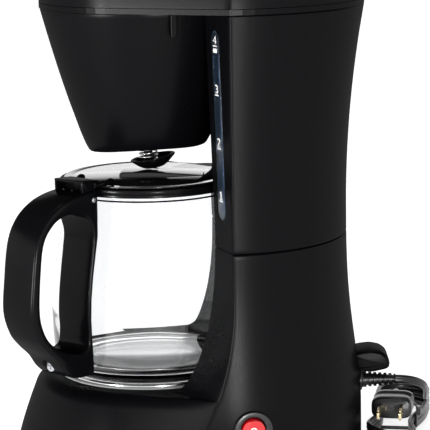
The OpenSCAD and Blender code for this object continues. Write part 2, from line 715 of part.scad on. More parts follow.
// Plane of the handle: x is the distance from the carafe axis, y the height
module in_handle(w) {
    at_carafe() rotate([0, 0, handle_turn - 90]) rotate([90, 0, 0]) translate([0, 0, -w / 2])
        linear_extrude(w) children();
}
handle_out = [[51.9, 163.6], [60, 163], [71, 161.4], [82, 157.6], [92, 150], [98.5, 138], [102, 116],
    [103.2, 99], [99, 86], [93, 78.5], [85.6, 71.5], [80.5, 64.5], [74, 59.6], [66, 58.5], [58, 58.5]];
handle_in = [[57.7, 66], [58.5, 80], [58.8, 90], [58.2, 102], [56.4, 115], [54.3, 126], [52.2, 137],
    [51.9, 150]];
handle_hole = [[56.2, 139], [60, 148], [67, 151.6], [77, 151.8], [86, 147.6], [93, 138], [96, 120],
    [97.2, 100], [94, 88], [88, 80.5], [80, 75.4], [70, 72.8], [63, 74.6], [61.4, 82], [61.8, 92],
    [61, 104], [59, 118], [57.2, 129]];
screw_r = 78;
lever_w = 23;
screw_h = 66;
pin_at = [55.4, 158.2];
module carafe_handle() {
    color("#19191a") difference() {
        in_handle(handle_w) difference() {
            polygon(concat(open_curve(handle_out, 4), handle_in));
            polygon(closed_curve(handle_hole, 3));
        }
        in_handle(handle_w + 2) translate(pin_at) circle(1.45);
        in_handle(lever_w + 0.8) translate([51, 160.2]) square([12.4, 5]);
        at_carafe() rotate([0, 0, handle_turn - 90]) translate([screw_r, 0, screw_h]) rotate([0, 90, 0])
            cylinder(h = 20, r = 3.8);
        at_carafe() rotate([0, 0, handle_turn - 90]) translate([62, 0, screw_h]) rotate([0, 90, 0])
            cylinder(h = 20, r = 1.65);
    }
}
module handle_screw() {
    color("silver") at_carafe() rotate([0, 0, handle_turn - 90]) translate([screw_r + 2, 0, screw_h])
        rotate([0, -90, 0]) pan_screw(3.4, 1.9, 1.6, 15);
}
lid_plate_z = collar_top + gap;
ramp_top = 167.5;
module carafe_lid() {
    color("#202021") at_carafe() difference() {
        union() {
            cylinder_z(collar_top - 5, lid_plate_z, 46.6);
            cylinder_z(lid_plate_z, lid_plate_z + 0.9, 48.5);
            intersection() {
                translate([0, 8, 0]) cylinder_z(lid_plate_z, ramp_top + 1, 25);
                rotate([90, 0, 90]) translate([0, 0, -11]) linear_extrude(22)
                    polygon([[-16.5, lid_plate_z], [-16.5, ramp_top - 0.6], [-15, ramp_top - 0.1],
                        [2, ramp_top - 0.1], [32, lid_plate_z + 1.2], [33, lid_plate_z]]);
            }
        }
        cylinder_z(collar_top - 6, collar_top - 1, 44.8);
        rotate([0, 0, 90 + handle_turn]) translate([41, -40, collar_top - 6]) cube([20, 80, 12]);
        for (x = [-4, 4]) translate([x, 4, 0]) cylinder_z(collar_top - 6, ramp_top + 2, 2);
    }
}
cheek_top = [[39.6, 164.9], [39.4, 167.2], [41, 168.6], [43.4, 168.2], [46.4, 166.4], [50, 166.3], [53.4, 167.8]];
module lid_lever() {
    color("#1d1d1e") {
        difference() {
            in_handle(lever_w) polygon([[48.9, 164.9], [52.8, 164.9], [52.8, 160.8], [62.6, 161.4],
                [62.9, 169.2], [50, 168.6], [48.9, 167]]);
            in_handle(lever_w - 3.2) polygon([[56, 162.4], [66, 162.8], [66, 168], [56, 167.6]]);
        }
        // Cheeks beside the lever, each with an ear over the lid
        difference() {
            in_handle(lever_w + 2.8) polygon(concat(open_curve(cheek_top, 3), [[54.6, 167.6], [54.6, 164.9]]));
            in_handle(lever_w - 1) translate([30, 160]) square([30, 12]);
        }
    }
}
module lever_pin() {
    color("silver") in_handle(handle_w) translate(pin_at) circle(1.4);
}

// ---- cord ----
cord_r = 2.5;
cord_sides = 8;
// Route from the strain relief down into the far run of the hank, about the carafe axis
cord_route = [[-12, 143, 37], [-12.6, 149, 36.4], [-15.6, 155.4, 34.4], [-21, 160.4, 31], [-28, 162.9, 26.8],
    [-35, 163.6, 22.6], [-42, 164.2, 19], [-49, 165, 16.4], [-56, 166, 14.6], [-63, 167.1, 13.5]];
module sweep(route, r, n) {
    m = len(route);
    rings = [for (i = [0:m - 1])
        let (d = route[min(i + 1, m - 1)] - route[max(i - 1, 0)], u = d / norm(d),
            s = cross([0, 0, 1], u) / max(norm(cross([0, 0, 1], u)), 0.001), v = cross(u, s))
        [for (k = [0:n - 1]) let (a = -360 * k / n) route[i] + r * (cos(a) * s + sin(a) * v)]];
    solid_loft(rings);
}
module strain_relief() {
    color("#1a1a1b") at_exit() rotate([-90, 0, 0]) {
        translate([0, 0, -6]) cylinder(h = 6.4, r = relief_r - 0.1);
        translate([0, 0, 0.4]) cylinder(h = 1.6, r = 6.5);
        translate([0, 0, 2]) cylinder(h = 20, r1 = 4.8, r2 = 3);
    }
}
module power_cord() {
    color("#1c1c1d") at_carafe() sweep(open_curve(cord_route, 3), cord_r, cord_sides);
}
hank_at = [-38, 147, 0];
hank_turn = -10;
hank_r = 17;
hank_half = 38;
hank_h = 16;
// Frame of the hank: +X along its runs
module at_hank() at_carafe() translate(hank_at) rotate([0, 0, hank_turn]) children();
module cord_hank() {
    color("#1c1c1d") at_hank() linear_extrude(hank_h) {
        square([2 * hank_half, 2 * hank_r], center = true);
        for (x = [-hank_half, hank_half]) translate([x, 0]) circle(hank_r);
    }
}
tie_t = 1;
tie_x = 4;
module cord_tie() {
    color("#202020") at_hank() translate([tie_x, 0, 0]) difference() {
        translate([-3, -hank_r - gap - tie_t, 0])
            cube([6, 2 * (hank_r + gap + tie_t), hank_h + gap + tie_t]);
        translate([-4, -hank_r - gap, -1]) cube([8, 2 * (hank_r + gap), hank_h + gap + 1]);
    }
}
// The plug lies on the hank, its prongs towards the near end
plug_z = hank_h + gap;
plug_x = 20;
plug_l = 22;
plug_w = 24;
plug_h = 13;
module plug_body() {
    color("#1a1a1b") at_hank() translate([plug_x, 0, plug_z]) {
        translate([0, -plug_w / 2, 0]) cube([plug_l, plug_w, plug_h]);
        translate([-13, 0, plug_h / 2]) rotate([0, 90, 0]) cylinder(h = 13.2, r1 = 3, r2 = 5);
    }
}
module plug_prongs() {
    color("#c8a24a") at_hank() translate([plug_x + plug_l, 0, plug_z + plug_h / 2 - 3.1])
        for (s = [-1, 1]) translate([0, s * 6.35 - 0.75, 0]) cube([16.5, 1.5, 6.2]);
}

base_housing();
bottom_cover();
rubber_feet();
base_screws();
warming_plate();
plate_seal();
heating_element();
heater_bracket();
bracket_screws();
thermostat();
thermal_fuse();
check_valve();
cold_hose();
hot_hose();
wiring();
switch_bezel();
switch_body();
switch_rocker();
switch_marks();
column_shell();
tank_floor();
floor_gasket();
water_window();
window_marks();
riser_tube();
brew_bowl();
filter_basket();
mesh_filter();
shower_spout();
top_frame();
frame_clips();
frame_screws();
top_lid();
lid_pins();
drip_valve();
valve_spring();
valve_seal();
carafe_glass();
carafe_collar();
neck_ring();
carafe_handle();
handle_screw();
carafe_lid();
lid_lever();
lever_pin();
strain_relief();
power_cord();
cord_hank();
cord_tie();
plug_body();
plug_prongs();
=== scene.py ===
"""Four-cup drip coffee maker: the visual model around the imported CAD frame.

Shapes are worked out in millimetres about the carafe's axis, with Z = 0 on the floor, and
placed in the frame's metres by place(). The front of the machine looks towards -Y.
"""
import bpy
import bmesh
from math import acos, asin, atan2, copysign, cos, exp, floor, hypot, pi, radians, sin, sqrt
from mathutils import Matrix, Vector


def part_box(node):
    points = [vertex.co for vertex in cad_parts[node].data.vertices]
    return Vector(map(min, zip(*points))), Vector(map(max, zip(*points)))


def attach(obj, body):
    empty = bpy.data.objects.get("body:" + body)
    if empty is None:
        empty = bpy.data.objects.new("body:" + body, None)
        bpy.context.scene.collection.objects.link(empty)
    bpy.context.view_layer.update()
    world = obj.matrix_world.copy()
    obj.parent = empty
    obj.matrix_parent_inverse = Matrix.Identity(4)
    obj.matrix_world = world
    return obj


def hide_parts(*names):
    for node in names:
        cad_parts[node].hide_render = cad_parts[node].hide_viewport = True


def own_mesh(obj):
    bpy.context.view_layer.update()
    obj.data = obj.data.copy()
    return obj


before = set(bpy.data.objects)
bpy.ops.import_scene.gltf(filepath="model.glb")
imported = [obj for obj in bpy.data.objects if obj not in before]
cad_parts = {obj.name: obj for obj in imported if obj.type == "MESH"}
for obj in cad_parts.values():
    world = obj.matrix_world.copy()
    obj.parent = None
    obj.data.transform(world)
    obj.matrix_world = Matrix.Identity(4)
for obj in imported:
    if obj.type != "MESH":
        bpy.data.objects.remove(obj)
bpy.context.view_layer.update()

# ---- places taken from the frame ----
plate_lo, plate_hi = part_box("warming_plate")
AXIS_Y = (plate_lo.y + plate_hi.y) / 2
MM = 0.001


def place(p):
    """A point in millimetres about the carafe's axis, in the frame's metres."""
    return Vector((p[0] * MM, p[1] * MM + AXIS_Y, p[2] * MM))


# ---- camera ----
EYE = Vector((1.25, 0.009, 0.366))
PITCH = radians(10.26)
ROLL = radians(0.98)
LENS = 183.3


def add_camera():
    """Camera on the +X side, tilted down and a little round, at the viewing angle."""
    ahead = Vector((-cos(PITCH), 0, -sin(PITCH)))
    right = Vector((0, 1, 0))
    up = right.cross(ahead)
    tilted_right = right * cos(ROLL) - up * sin(ROLL)
    tilted_up = up * cos(ROLL) + right * sin(ROLL)
    data = bpy.data.cameras.new("camera")
    data.lens = LENS
    data.sensor_width = 36
    data.clip_start = 0.05
    cam = bpy.data.objects.new("camera", data)
    turn = Matrix((tilted_right, tilted_up, -ahead)).transposed()
    cam.matrix_world = Matrix.Translation(EYE) @ turn.to_4x4()
    bpy.context.scene.collection.objects.link(cam)
    bpy.context.scene.camera = cam


add_camera()


# ---- mesh making ----
def in_scene(name, data):
    made = bpy.data.objects.new(name, data)
    bpy.context.scene.collection.objects.link(made)
    return made


def finish_piece(name, bm, body, material, slot, *replaced, sharp=32):
    """Turns a bmesh in millimetres about the carafe's axis into a piece on a CAD body."""
    bmesh.ops.remove_doubles(bm, verts=bm.verts, dist=0.002)
    bmesh.ops.recalc_face_normals(bm, faces=bm.faces)
    for v in bm.verts:
        v.co = place(v.co)
    mesh = bpy.data.meshes.new(name)
    bm.to_mesh(mesh)
    bm.free()
    mesh.shade_smooth()
    mesh.set_sharp_from_angle(angle=radians(sharp))
    piece = in_scene(name, mesh)
    mesh.materials.append(material)
    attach(piece, body)
    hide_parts(*replaced)
    return piece


def add_rings(bm, rings, first="cap", last="cap", closed=False):
    """Skin over rings of equal point counts. A ring of one point closes to that point."""
    made = [[bm.verts.new(p) for p in ring] for ring in rings]
    pairs = list(zip(made, made[1:]))
    if closed:
        pairs.append((made[-1], made[0]))
    for a, b in pairs:
        n = max(len(a), len(b))
        for i in range(n):
            j = (i + 1) % n
            corners = [a[i % len(a)], a[j % len(a)], b[j % len(b)], b[i % len(b)]]
            unique = []
            for v in corners:
                if v not in unique:
                    unique.append(v)
            if len(unique) > 2:
                bm.faces.new(unique)
    if not closed:
        if first == "cap" and len(made[0]) > 2:
            bm.faces.new(made[0][::-1])
        if last == "cap" and len(made[-1]) > 2:
            bm.faces.new(made[-1])


def arc(r, start, end, n):
    return [(r * cos(start + (end - start) * i / n), r * sin(start + (end - start) * i / n))
            for i in range(n + 1)]


def circle(r, n):
    return arc(r, 0, 2 * pi, n)[:-1]


def turned(x, y, angle):
    """A point turned about the origin."""
    c, s = cos(angle), sin(angle)
    return x * c - y * s, x * s + y * c


def span(a, b, n):
    return [a + (b - a) * i / n for i in range(n + 1)]


def ease(v):
    """Smooth rise from 0 to 1."""
    u = min(max(v, 0), 1)
    return u * u * (3 - 2 * u)


def add_lathe(bm, profile, n=128, move=None, closed=False):
    """Solid of revolution about Z from (radius, height) points; move places its points."""
    rings = [[(x, y, z) for x, y in circle(r, n)] if r > 1e-6 else [(0, 0, z)] for r, z in profile]
    if move:
        rings = [[move(*p) for p in ring] for ring in rings]
    add_rings(bm, rings, closed=closed)


def soft_corners(points, radii, n=4, closed=True):
    """Rounds the corners of an outline: each corner is cut back by its radius and bent round."""
    out = []
    m = len(points)
    for i, p in enumerate(points):
        r = radii[i] if isinstance(radii, (list, tuple)) else radii
        if r <= 0 or (not closed and i in (0, m - 1)):
            out.append(tuple(p))
            continue
        p0, p1, p2 = Vector(points[i - 1]), Vector(p), Vector(points[(i + 1) % m])
        a = p1 + (p0 - p1).normalized() * min(r, (p0 - p1).length * 0.48)
        b = p1 + (p2 - p1).normalized() * min(r, (p2 - p1).length * 0.48)
        for k in range(n + 1):
            t = k / n
            out.append(tuple(a * (1 - t) ** 2 + p1 * 2 * t * (1 - t) + b * t * t))
    return out


def spline(points, n, closed=False):
    """Catmull-Rom curve through the points, n steps a span, as vectors."""
    m = len(points)
    vs = [Vector(p) for p in points]
    out = []
    for i in range(m if closed else m - 1):
        if closed:
            a, b, c, d = vs[i - 1], vs[i], vs[(i + 1) % m], vs[(i + 2) % m]
        else:
            a, b, c, d = vs[max(i - 1, 0)], vs[i], vs[i + 1], vs[min(i + 2, m - 1)]
        for k in range(n):
            t = k / n
            out.append(0.5 * (2 * b + (c - a) * t + (2 * a - 5 * b + 4 * c - d) * t * t
                              + (3 * b - a - 3 * c + d) * t ** 3))
    if not closed:
        out.append(vs[-1])
    return out


def grown(outline, w):
    """A closed outline moved outwards by w."""
    m = len(outline)
    area = sum(outline[i - 1][0] * p[1] - p[0] * outline[i - 1][1] for i, p in enumerate(outline))
    turn = 1 if area > 0 else -1
    out = []
    for i, p in enumerate(outline):
        along = (Vector(outline[(i + 1) % m]) - Vector(outline[i - 1])).normalized()
        out.append(Vector(p) + Vector((along.y, -along.x)) * turn * w)
    return out


def add_prism(bm, outline, thickness, to_world, edge, steps=3):
    """Plate of an outline in a plane, with rounded rims. to_world maps (u, v, across)."""
    half = thickness / 2
    levels = []
    for k in range(steps + 1):
        a = pi / 2 * k / steps
        levels.append((half - edge * (1 - cos(a)), edge * (1 - sin(a))))
    levels = [(-w, inset) for w, inset in levels] + levels[::-1]
    add_rings(bm, [[to_world(*p, w) for p in grown(outline, -inset)] for w, inset in levels])


def sweep(bm, route, section):
    """Skin of a section carried along a route; section points are (across, upwards)."""
    pts = [Vector(p) for p in route]
    rings = []
    for i, p in enumerate(pts):
        d = (pts[min(i + 1, len(pts) - 1)] - pts[max(i - 1, 0)]).normalized()
        side = d.cross(Vector((0, 0, 1)))
        side = side.normalized() if side.length > 1e-6 else Vector((1, 0, 0))
        rise = side.cross(d)
        rings.append([p + side * s + rise * u for s, u in section])
    add_rings(bm, rings)


def about(centre, axis):
    """A function that puts a point (across, across, along) about an axis vector through a centre."""
    d = Vector(axis).normalized()
    a = d.orthogonal().normalized()
    b = d.cross(a)
    return lambda x, y, z: Vector(centre) + d * z + a * x + b * y


def bar(outline, at, low, high):
    """A maker of a straight bar: an outline, placed by a function, from low to high across it."""
    return lambda bm: add_rings(bm, [[at(*p, w) for p in outline] for w in (low, high)])


def tube_cutter(centre, axis, r, length):
    """A cutting cylinder about an axis vector."""
    return bar(circle(r, 40), about(centre, axis), -length / 2, length / 2)


def add_bmesh(bm, other):
    """Appends another bmesh, which is then used up."""
    mesh = bpy.data.meshes.new("appended")
    other.to_mesh(mesh)
    other.free()
    bm.from_mesh(mesh)
    bpy.data.meshes.remove(mesh)


def loose_object(bm):
    """A bmesh as an object of its own, which the caller removes."""
    bmesh.ops.remove_doubles(bm, verts=bm.verts, dist=0.001)
    bmesh.ops.recalc_face_normals(bm, faces=bm.faces)
    mesh = bpy.data.meshes.new("loose")
    bm.to_mesh(mesh)
    bm.free()
    return in_scene("loose", mesh)


def carved(bm, *makers):
    """One closed shell less the tool solids that the functions add to a bmesh of their own."""
    shell = loose_object(bm)
    for make in makers:
        tool_bm = bmesh.new()
        make(tool_bm)
        tool = loose_object(tool_bm)
        mod = shell.modifiers.new("cut", "BOOLEAN")
        mod.operation = "DIFFERENCE"
        mod.solver = "EXACT"
        mod.object = tool
        bpy.context.view_layer.update()
        seen = shell.evaluated_get(bpy.context.evaluated_depsgraph_get())
        result = bpy.data.meshes.new_from_object(seen)
        shell.modifiers.clear()
        old = [shell.data, tool.data]
        shell.data = result
        bpy.data.objects.remove(tool)
        for mesh in old:
            bpy.data.meshes.remove(mesh)
    out = bmesh.new()
    out.from_mesh(shell.data)
    mesh = shell.data
    bpy.data.objects.remove(shell)
    bpy.data.meshes.remove(mesh)
    return out


# ---- materials ----
def new_material(name):
    mat = bpy.data.materials.new(name)
    mat.use_nodes = True
    tree = mat.node_tree
    return mat, tree, tree.nodes["Principled BSDF"]


def link(tree, a, out, b, into):
    tree.links.new(a.outputs[out], b.inputs[into])


def give(node, values):
    """Sets a node's inputs by their names."""
    for name, value in values.items():
        node.inputs[name].default_value = value
    return node


def noise(tree, scale, detail, stretch=(1, 1, 1)):
    """Noise in the object's own space; scale is features a metre."""
    where = tree.nodes.new("ShaderNodeTexCoord")
    mapping = give(tree.nodes.new("ShaderNodeMapping"), {"Scale": stretch})
    tex = give(tree.nodes.new("ShaderNodeTexNoise"), {"Scale": scale, "Detail": detail, "Roughness": 0.55})
    link(tree, where, "Object", mapping, "Vector")
    link(tree, mapping, "Vector", tex, "Vector")
    return tex


def ramp(tree, source, output, low, high, start=0.3, end=0.7):
    """Map of a texture's values between start and end onto low to high."""
    node = give(tree.nodes.new("ShaderNodeMapRange"),
                {"From Min": start, "From Max": end, "To Min": low, "To Max": high})
    link(tree, source, output, node, "Value")
    return node


def two_tone(tree, shader, source, output, dark, light):
    """Base colour that moves between two tones with a texture."""
    mix = tree.nodes.new("ShaderNodeMix")
    mix.data_type = "RGBA"
    mix.inputs["A"].default_value = (*dark, 1)
    mix.inputs["B"].default_value = (*light, 1)
    link(tree, source, output, mix, "Factor")
    link(tree, mix, "Result", shader, "Base Color")


def bump_of(tree, source, output, depth, strength):
    """Bump node that stands a texture out by a depth in millimetres."""
    bump = give(tree.nodes.new("ShaderNodeBump"), {"Strength": strength, "Distance": depth * MM})
    link(tree, source, output, bump, "Height")
    return bump


def surface(name, colour, rough, vary=0.12, grain=1400, depth=0.02, wear=60, metal=0.0, coat=0.0,
            ior=1.5, stretch=(1, 1, 1), rough_spread=0.06, bevel=0.0, shine=0.5, coat_ior=1.5):
    """Moulded, cast or drawn surface: colour and gloss drift slowly, and a fine grain stands in relief."""
    mat, tree, shader = new_material(name)
    give(shader, {"Metallic": metal, "IOR": ior, "Specular IOR Level": shine, "Coat Weight": coat,
                  "Coat IOR": coat_ior})
    drift = noise(tree, wear, detail=5)
    fine = noise(tree, grain, detail=3, stretch=stretch)
    two_tone(tree, shader, drift, "Fac", [c * (1 - vary) for c in colour],
             [min(c * (1 + vary), 1) for c in colour])
    gloss = ramp(tree, fine, "Fac", max(rough - rough_spread, 0.02), rough + rough_spread)
    link(tree, gloss, "Result", shader, "Roughness")
    link(tree, gloss, "Result", shader, "Coat Roughness")
    bump = bump_of(tree, fine, "Fac", depth, 0.5)
    if bevel:
        edge = tree.nodes.new("ShaderNodeBevel")
        edge.samples = 4
        edge.inputs["Radius"].default_value = bevel * MM
        link(tree, edge, "Normal", bump, "Normal")
    link(tree, bump, "Normal", shader, "Normal")
    link(tree, bump, "Normal", shader, "Coat Normal")
    return mat


SATIN_BLACK = surface("satin_black", (0.0022, 0.0022, 0.0028), 0.3, grain=1500, depth=0.03, shine=0.0,
                      coat=0.08, coat_ior=1.8)
INNER_BLACK = surface("inner_black", (0.008, 0.008, 0.009), 0.5, bevel=0.4, shine=0.3)
GLOSS_BLACK = surface("gloss_black", (0.003, 0.003, 0.0036), 0.2, grain=700, depth=0.012, wear=40, shine=0.0,
                      coat=0.11, coat_ior=1.7)
LID_BLACK = surface("lid_black", (0.012, 0.012, 0.013), 0.08, grain=900, depth=0.003, rough_spread=0.02,
                    ior=1.6)
PLATE_STEEL = surface("plate_steel", (0.6, 0.6, 0.6), 0.14, metal=1.0, grain=900, depth=0.003, vary=0.08,
                      rough_spread=0.03)
SEAL_GREY = surface("seal_grey", (0.42, 0.42, 0.42), 0.45, grain=900, depth=0.02)
SILICONE = surface("silicone", (0.66, 0.65, 0.61), 0.42, grain=500, depth=0.02)
RUBBER = surface("foot_rubber", (0.03, 0.03, 0.031), 0.75, grain=1100, depth=0.06, bevel=0.3)
STEEL = surface("steel", (0.62, 0.62, 0.63), 0.24, metal=1.0, grain=900, depth=0.006, stretch=(1, 1, 6))
ZINC = surface("zinc_screws", (0.55, 0.56, 0.58), 0.3, metal=1.0, grain=1600, depth=0.01, bevel=0.2)
CAST = surface("cast_aluminium", (0.6, 0.6, 0.62), 0.5, metal=1.0, grain=800, depth=0.08, bevel=0.4)
CERAMIC = surface("glazed_ceramic", (0.8, 0.77, 0.68), 0.2, grain=600, depth=0.01)
WIRE_RED = surface("wire_insulation", (0.45, 0.05, 0.04), 0.4, grain=800, depth=0.01)
WHITE_PLASTIC = surface("white_plastic", (0.62, 0.62, 0.6), 0.4, grain=900, depth=0.01, bevel=0.2)
MILKY = surface("milky_tube", (0.72, 0.72, 0.68), 0.35, grain=500, depth=0.01)
PRINT = surface("white_print", (0.86, 0.86, 0.86), 0.5, grain=2500, depth=0.008, vary=0.06)
CORD_PVC = surface("cord_pvc", (0.007, 0.007, 0.008), 0.32, grain=900, depth=0.03, shine=0.4)
TIE_BLACK = surface("tie_black", (0.016, 0.016, 0.017), 0.42, grain=900, depth=0.02)
BRASS = surface("prong_brass", (0.72, 0.6, 0.36), 0.22, metal=1.0, grain=1200, depth=0.006, stretch=(8, 1, 1))
BEZEL_BLACK = surface("bezel_black", (0.01, 0.01, 0.011), 0.25, grain=900, depth=0.01, shine=0.5)


def rocker_material():
    """Translucent red plastic with a moulded gloss."""
    mat, tree, shader = new_material("rocker_red")
    drift = noise(tree, 250, detail=3)
    two_tone(tree, shader, drift, "Fac", (0.52, 0.004, 0.008), (0.66, 0.008, 0.014))
    give(shader, {"Subsurface Weight": 0.25, "Subsurface Radius": (0.004, 0.0006, 0.0006),
                  "Coat Weight": 0.6, "Coat Roughness": 0.05})
    gloss = ramp(tree, drift, "Fac", 0.12, 0.2)
    link(tree, gloss, "Result", shader, "Roughness")
    return mat


def glass_material(name, tint, rough=0.01, ior=1.47):
    """Clear blown glass or moulded plastic with faint waves in its wall."""
    mat, tree, shader = new_material(name)
    give(shader, {"Transmission Weight": 1.0, "IOR": ior})
    wave = noise(tree, 35, detail=2)
    two_tone(tree, shader, wave, "Fac", tint, [min(1, c * 1.01) for c in tint])
    gloss = ramp(tree, wave, "Fac", rough, rough + 0.01)
    link(tree, gloss, "Result", shader, "Roughness")
    link(tree, bump_of(tree, wave, "Fac", 0.012, 0.25), "Normal", shader, "Normal")
    return mat


ROCKER_RED = rocker_material()
GLASS = glass_material("clear_glass", (0.968, 0.974, 0.98))
WINDOW_TINT = glass_material("window_tint", (0.5, 0.68, 0.9), rough=0.3, ior=1.4)


def mesh_material():
    """Nylon mesh: two sets of threads crossing, with the holes left dark."""
    mat, tree, shader = new_material("nylon_mesh")
    where = tree.nodes.new("ShaderNodeTexCoord")
    thread = []
    for axis in ("X", "Y"):
        wave = tree.nodes.new("ShaderNodeTexWave")
        wave.bands_direction = axis
        wave.inputs["Scale"].default_value = 320
        link(tree, where, "Object", wave, "Vector")
        thread.append(wave)
    both = tree.nodes.new("ShaderNodeMath")
    both.operation = "MAXIMUM"
    link(tree, thread[0], "Fac", both, 0)
    link(tree, thread[1], "Fac", both, 1)
    two_tone(tree, shader, both, "Value", (0.2, 0.17, 0.09), (0.62, 0.56, 0.38))
    link(tree, bump_of(tree, both, "Value", 0.1, 1.0), "Normal", shader, "Normal")
    give(shader, {"Roughness": 0.55})
    return mat


NYLON_MESH = mesh_material()

# ---- cord, hank and plug ----
CORD_W = 5.0
CORD_T = 3.0
CORD_ROUTE = [(-12, 143, 37), (-12.6, 149, 36.4), (-15.6, 155.4, 34.4), (-21, 160.4, 31), (-28, 162.9, 26.8),
              (-35, 163.6, 22.6), (-42, 164.2, 19), (-49, 165, 16.4), (-56, 166, 14.6), (-63, 167.1, 13.5)]
RELIEF_AT = (-12, 121.4, 37)
HANK_AT = (-38, 147)
HANK_TURN = radians(-10)
HANK_R = 15.0
HANK_HALF = 38.0
TIE_X = 4.0
WAIST_X, WAIST_SPREAD, WAIST_IN = 14.0, 22.0, 0.4
PLUG_X = 20.0
PLUG_Z = 16.3
PLUG_L, PLUG_W, PLUG_H = 22.0, 24.0, 13.0
STUB_L = 13.0
TURNS_START, TURNS_END, TURN_STEP = 0.30, 2.5, 0.0105
TAIL_STEPS = 16


def from_hank(x, y, z):
    u, v = turned(x, y, HANK_TURN)
    return (HANK_AT[0] + u, HANK_AT[1] + v, z)


TURN_L = 4 * HANK_HALF + 2 * pi * HANK_R
RUN_END = 2 * HANK_HALF / TURN_L
BEND = pi * HANK_R / TURN_L


def waist_at(x):
    """Share of the hank's half width that the tie leaves at x."""
    return 1 - WAIST_IN * exp(-((x - WAIST_X) / WAIST_SPREAD) ** 2)


def hank_point(s):
    """Point of the hank after s turns, wound down from the top layer; a turn starts with the far run."""
    f = s % 1
    if f < RUN_END:
        x, y = HANK_HALF * (1 - 2 * f / RUN_END), HANK_R
    elif f < RUN_END + BEND:
        a = pi / 2 + pi * (f - RUN_END) / BEND
        x, y = -HANK_HALF + HANK_R * cos(a), HANK_R * sin(a)
    elif f < 2 * RUN_END + BEND:
        x, y = HANK_HALF * (2 * (f - RUN_END - BEND) / RUN_END - 1), -HANK_R
    else:
        a = -pi / 2 + pi * (f - 2 * RUN_END - BEND) / BEND
        x, y = HANK_HALF + HANK_R * cos(a), HANK_R * sin(a)
    y *= waist_at(x)
    layer = floor(s) + ease((f - 2 * RUN_END - BEND) / BEND)
    return from_hank(x, y, 2.5 * CORD_W - CORD_W * min(layer, 2))


def cord_path():
    """Lead from the relief, the turns of the hank and the tail that rises to the plug's stub."""
    lead = spline(CORD_ROUTE, 4)
    steps = int((TURNS_END - TURNS_START) / TURN_STEP) + 1
    turns = [Vector(hank_point(TURNS_START + TURN_STEP * k)) for k in range(steps)]
    last = turns[-1]
    end = Vector(from_hank(PLUG_X - STUB_L + 0.5, 0, PLUG_Z + PLUG_H / 2))
    x, y, _ = hank_point(TURNS_END)
    start = Vector((x, y, last.z))
    span = end - start
    ahead = Vector((cos(HANK_TURN), sin(HANK_TURN), 0))
    reach = span.dot(ahead)
    tail = []
    for k in range(1, TAIL_STEPS + 1):
        t = k / TAIL_STEPS
        tail.append(start + ahead * reach * t + (span - ahead * reach) * ease(t))
    return lead[:-1] + turns[:-1] + tail


def path_length(points):
    return sum((b - a).length for a, b in zip(points, points[1:]))


def flat_cord_section():
    """Two round cores side by side, joined by a web."""
    r = CORD_T / 2
    off = CORD_W / 2 - r
    pts = []
    for start, side in ((-35, off), (145, -off)):
        pts += [(x, side + y) for x, y in arc(r, radians(start), radians(start + 250), 8)]
    return pts


def make_cord():
    path = cord_path()
    bm = bmesh.new()
    sweep(bm, path, flat_cord_section())
    piece = finish_piece("cord", bm, "housing", CORD_PVC, "cord_pvc", "power_cord", "cord_hank", sharp=60)
    return piece, path


def make_tie():
    """Strap round the waist of the hank, with a buckle on its far side."""
    lo, hi = 0.55, PLUG_Z + 0.9
    half = HANK_R * waist_at(TIE_X) + CORD_T / 2 + 0.4
    outline = soft_corners([(-half, lo), (half, lo), (half, hi - 1), (-half, hi - 1)], 3.0, n=5)
    bm = bmesh.new()
    t = 0.9
    inner, outer = grown(outline, -t / 2), grown(outline, t / 2)
    w = 2.4
    rings = [[from_hank(TIE_X + x, u, v) for u, v in loop]
             for x, loop in ((-w, inner), (-w, outer), (w, outer), (w, inner))]
    add_rings(bm, rings, closed=True)
    buckle = [(half + 0.2, 9.5), (half + 2.4, 9.5), (half + 2.4, 13.5), (half + 0.2, 13.5)]
    bar(soft_corners(buckle, 0.5, n=2), lambda u, v, x: from_hank(TIE_X + x, u, v), -3.1, 3.1)(bm)
    return finish_piece("cord_tie_strap", bm, "housing", TIE_BLACK, "tie", "cord_tie")


def make_plug():
    """Moulded plug: rounded body with finger grooves, and a ribbed stub on the cord's side."""
    bm = bmesh.new()
    mid = PLUG_Z + PLUG_H / 2
    rings = []
    stations = [(0, 0.72, 0.72), (0.8, 0.9, 0.88), (2.2, 0.98, 0.97), (6, 1, 1), (8, 0.93, 0.9),
                (10, 0.91, 0.88), (12, 0.93, 0.9), (14, 1, 1), (19, 1, 1), (20.8, 0.98, 0.97),
                (21.6, 0.95, 0.93), (PLUG_L, 0.9, 0.86)]
    for x, kw, kh in stations:
        ring = []
        for c, s in circle(1, 40):
            u = copysign(abs(c) ** 0.5, c) * PLUG_W / 2 * kw
            v = copysign(abs(s) ** 0.55, s) * PLUG_H / 2 * kh
            ring.append(from_hank(PLUG_X + x, u, mid + v))
        rings.append(ring)
    add_rings(bm, rings)
    stub = []
    for k in range(27):
        x = -STUB_L + STUB_L * k / 26 + 0.4
        rib = 0.35 if k % 4 in (1, 2) and k < 22 else 0
        r = 2.7 + 2.2 * k / 26 + rib
        stub.append([from_hank(PLUG_X + x, u, mid + 0.8 * v) for u, v in circle(r, 24)])
    add_rings(bm, stub)
    return finish_piece("plug_shell", bm, "housing", CORD_PVC, "cord_pvc", "plug_body", sharp=40)


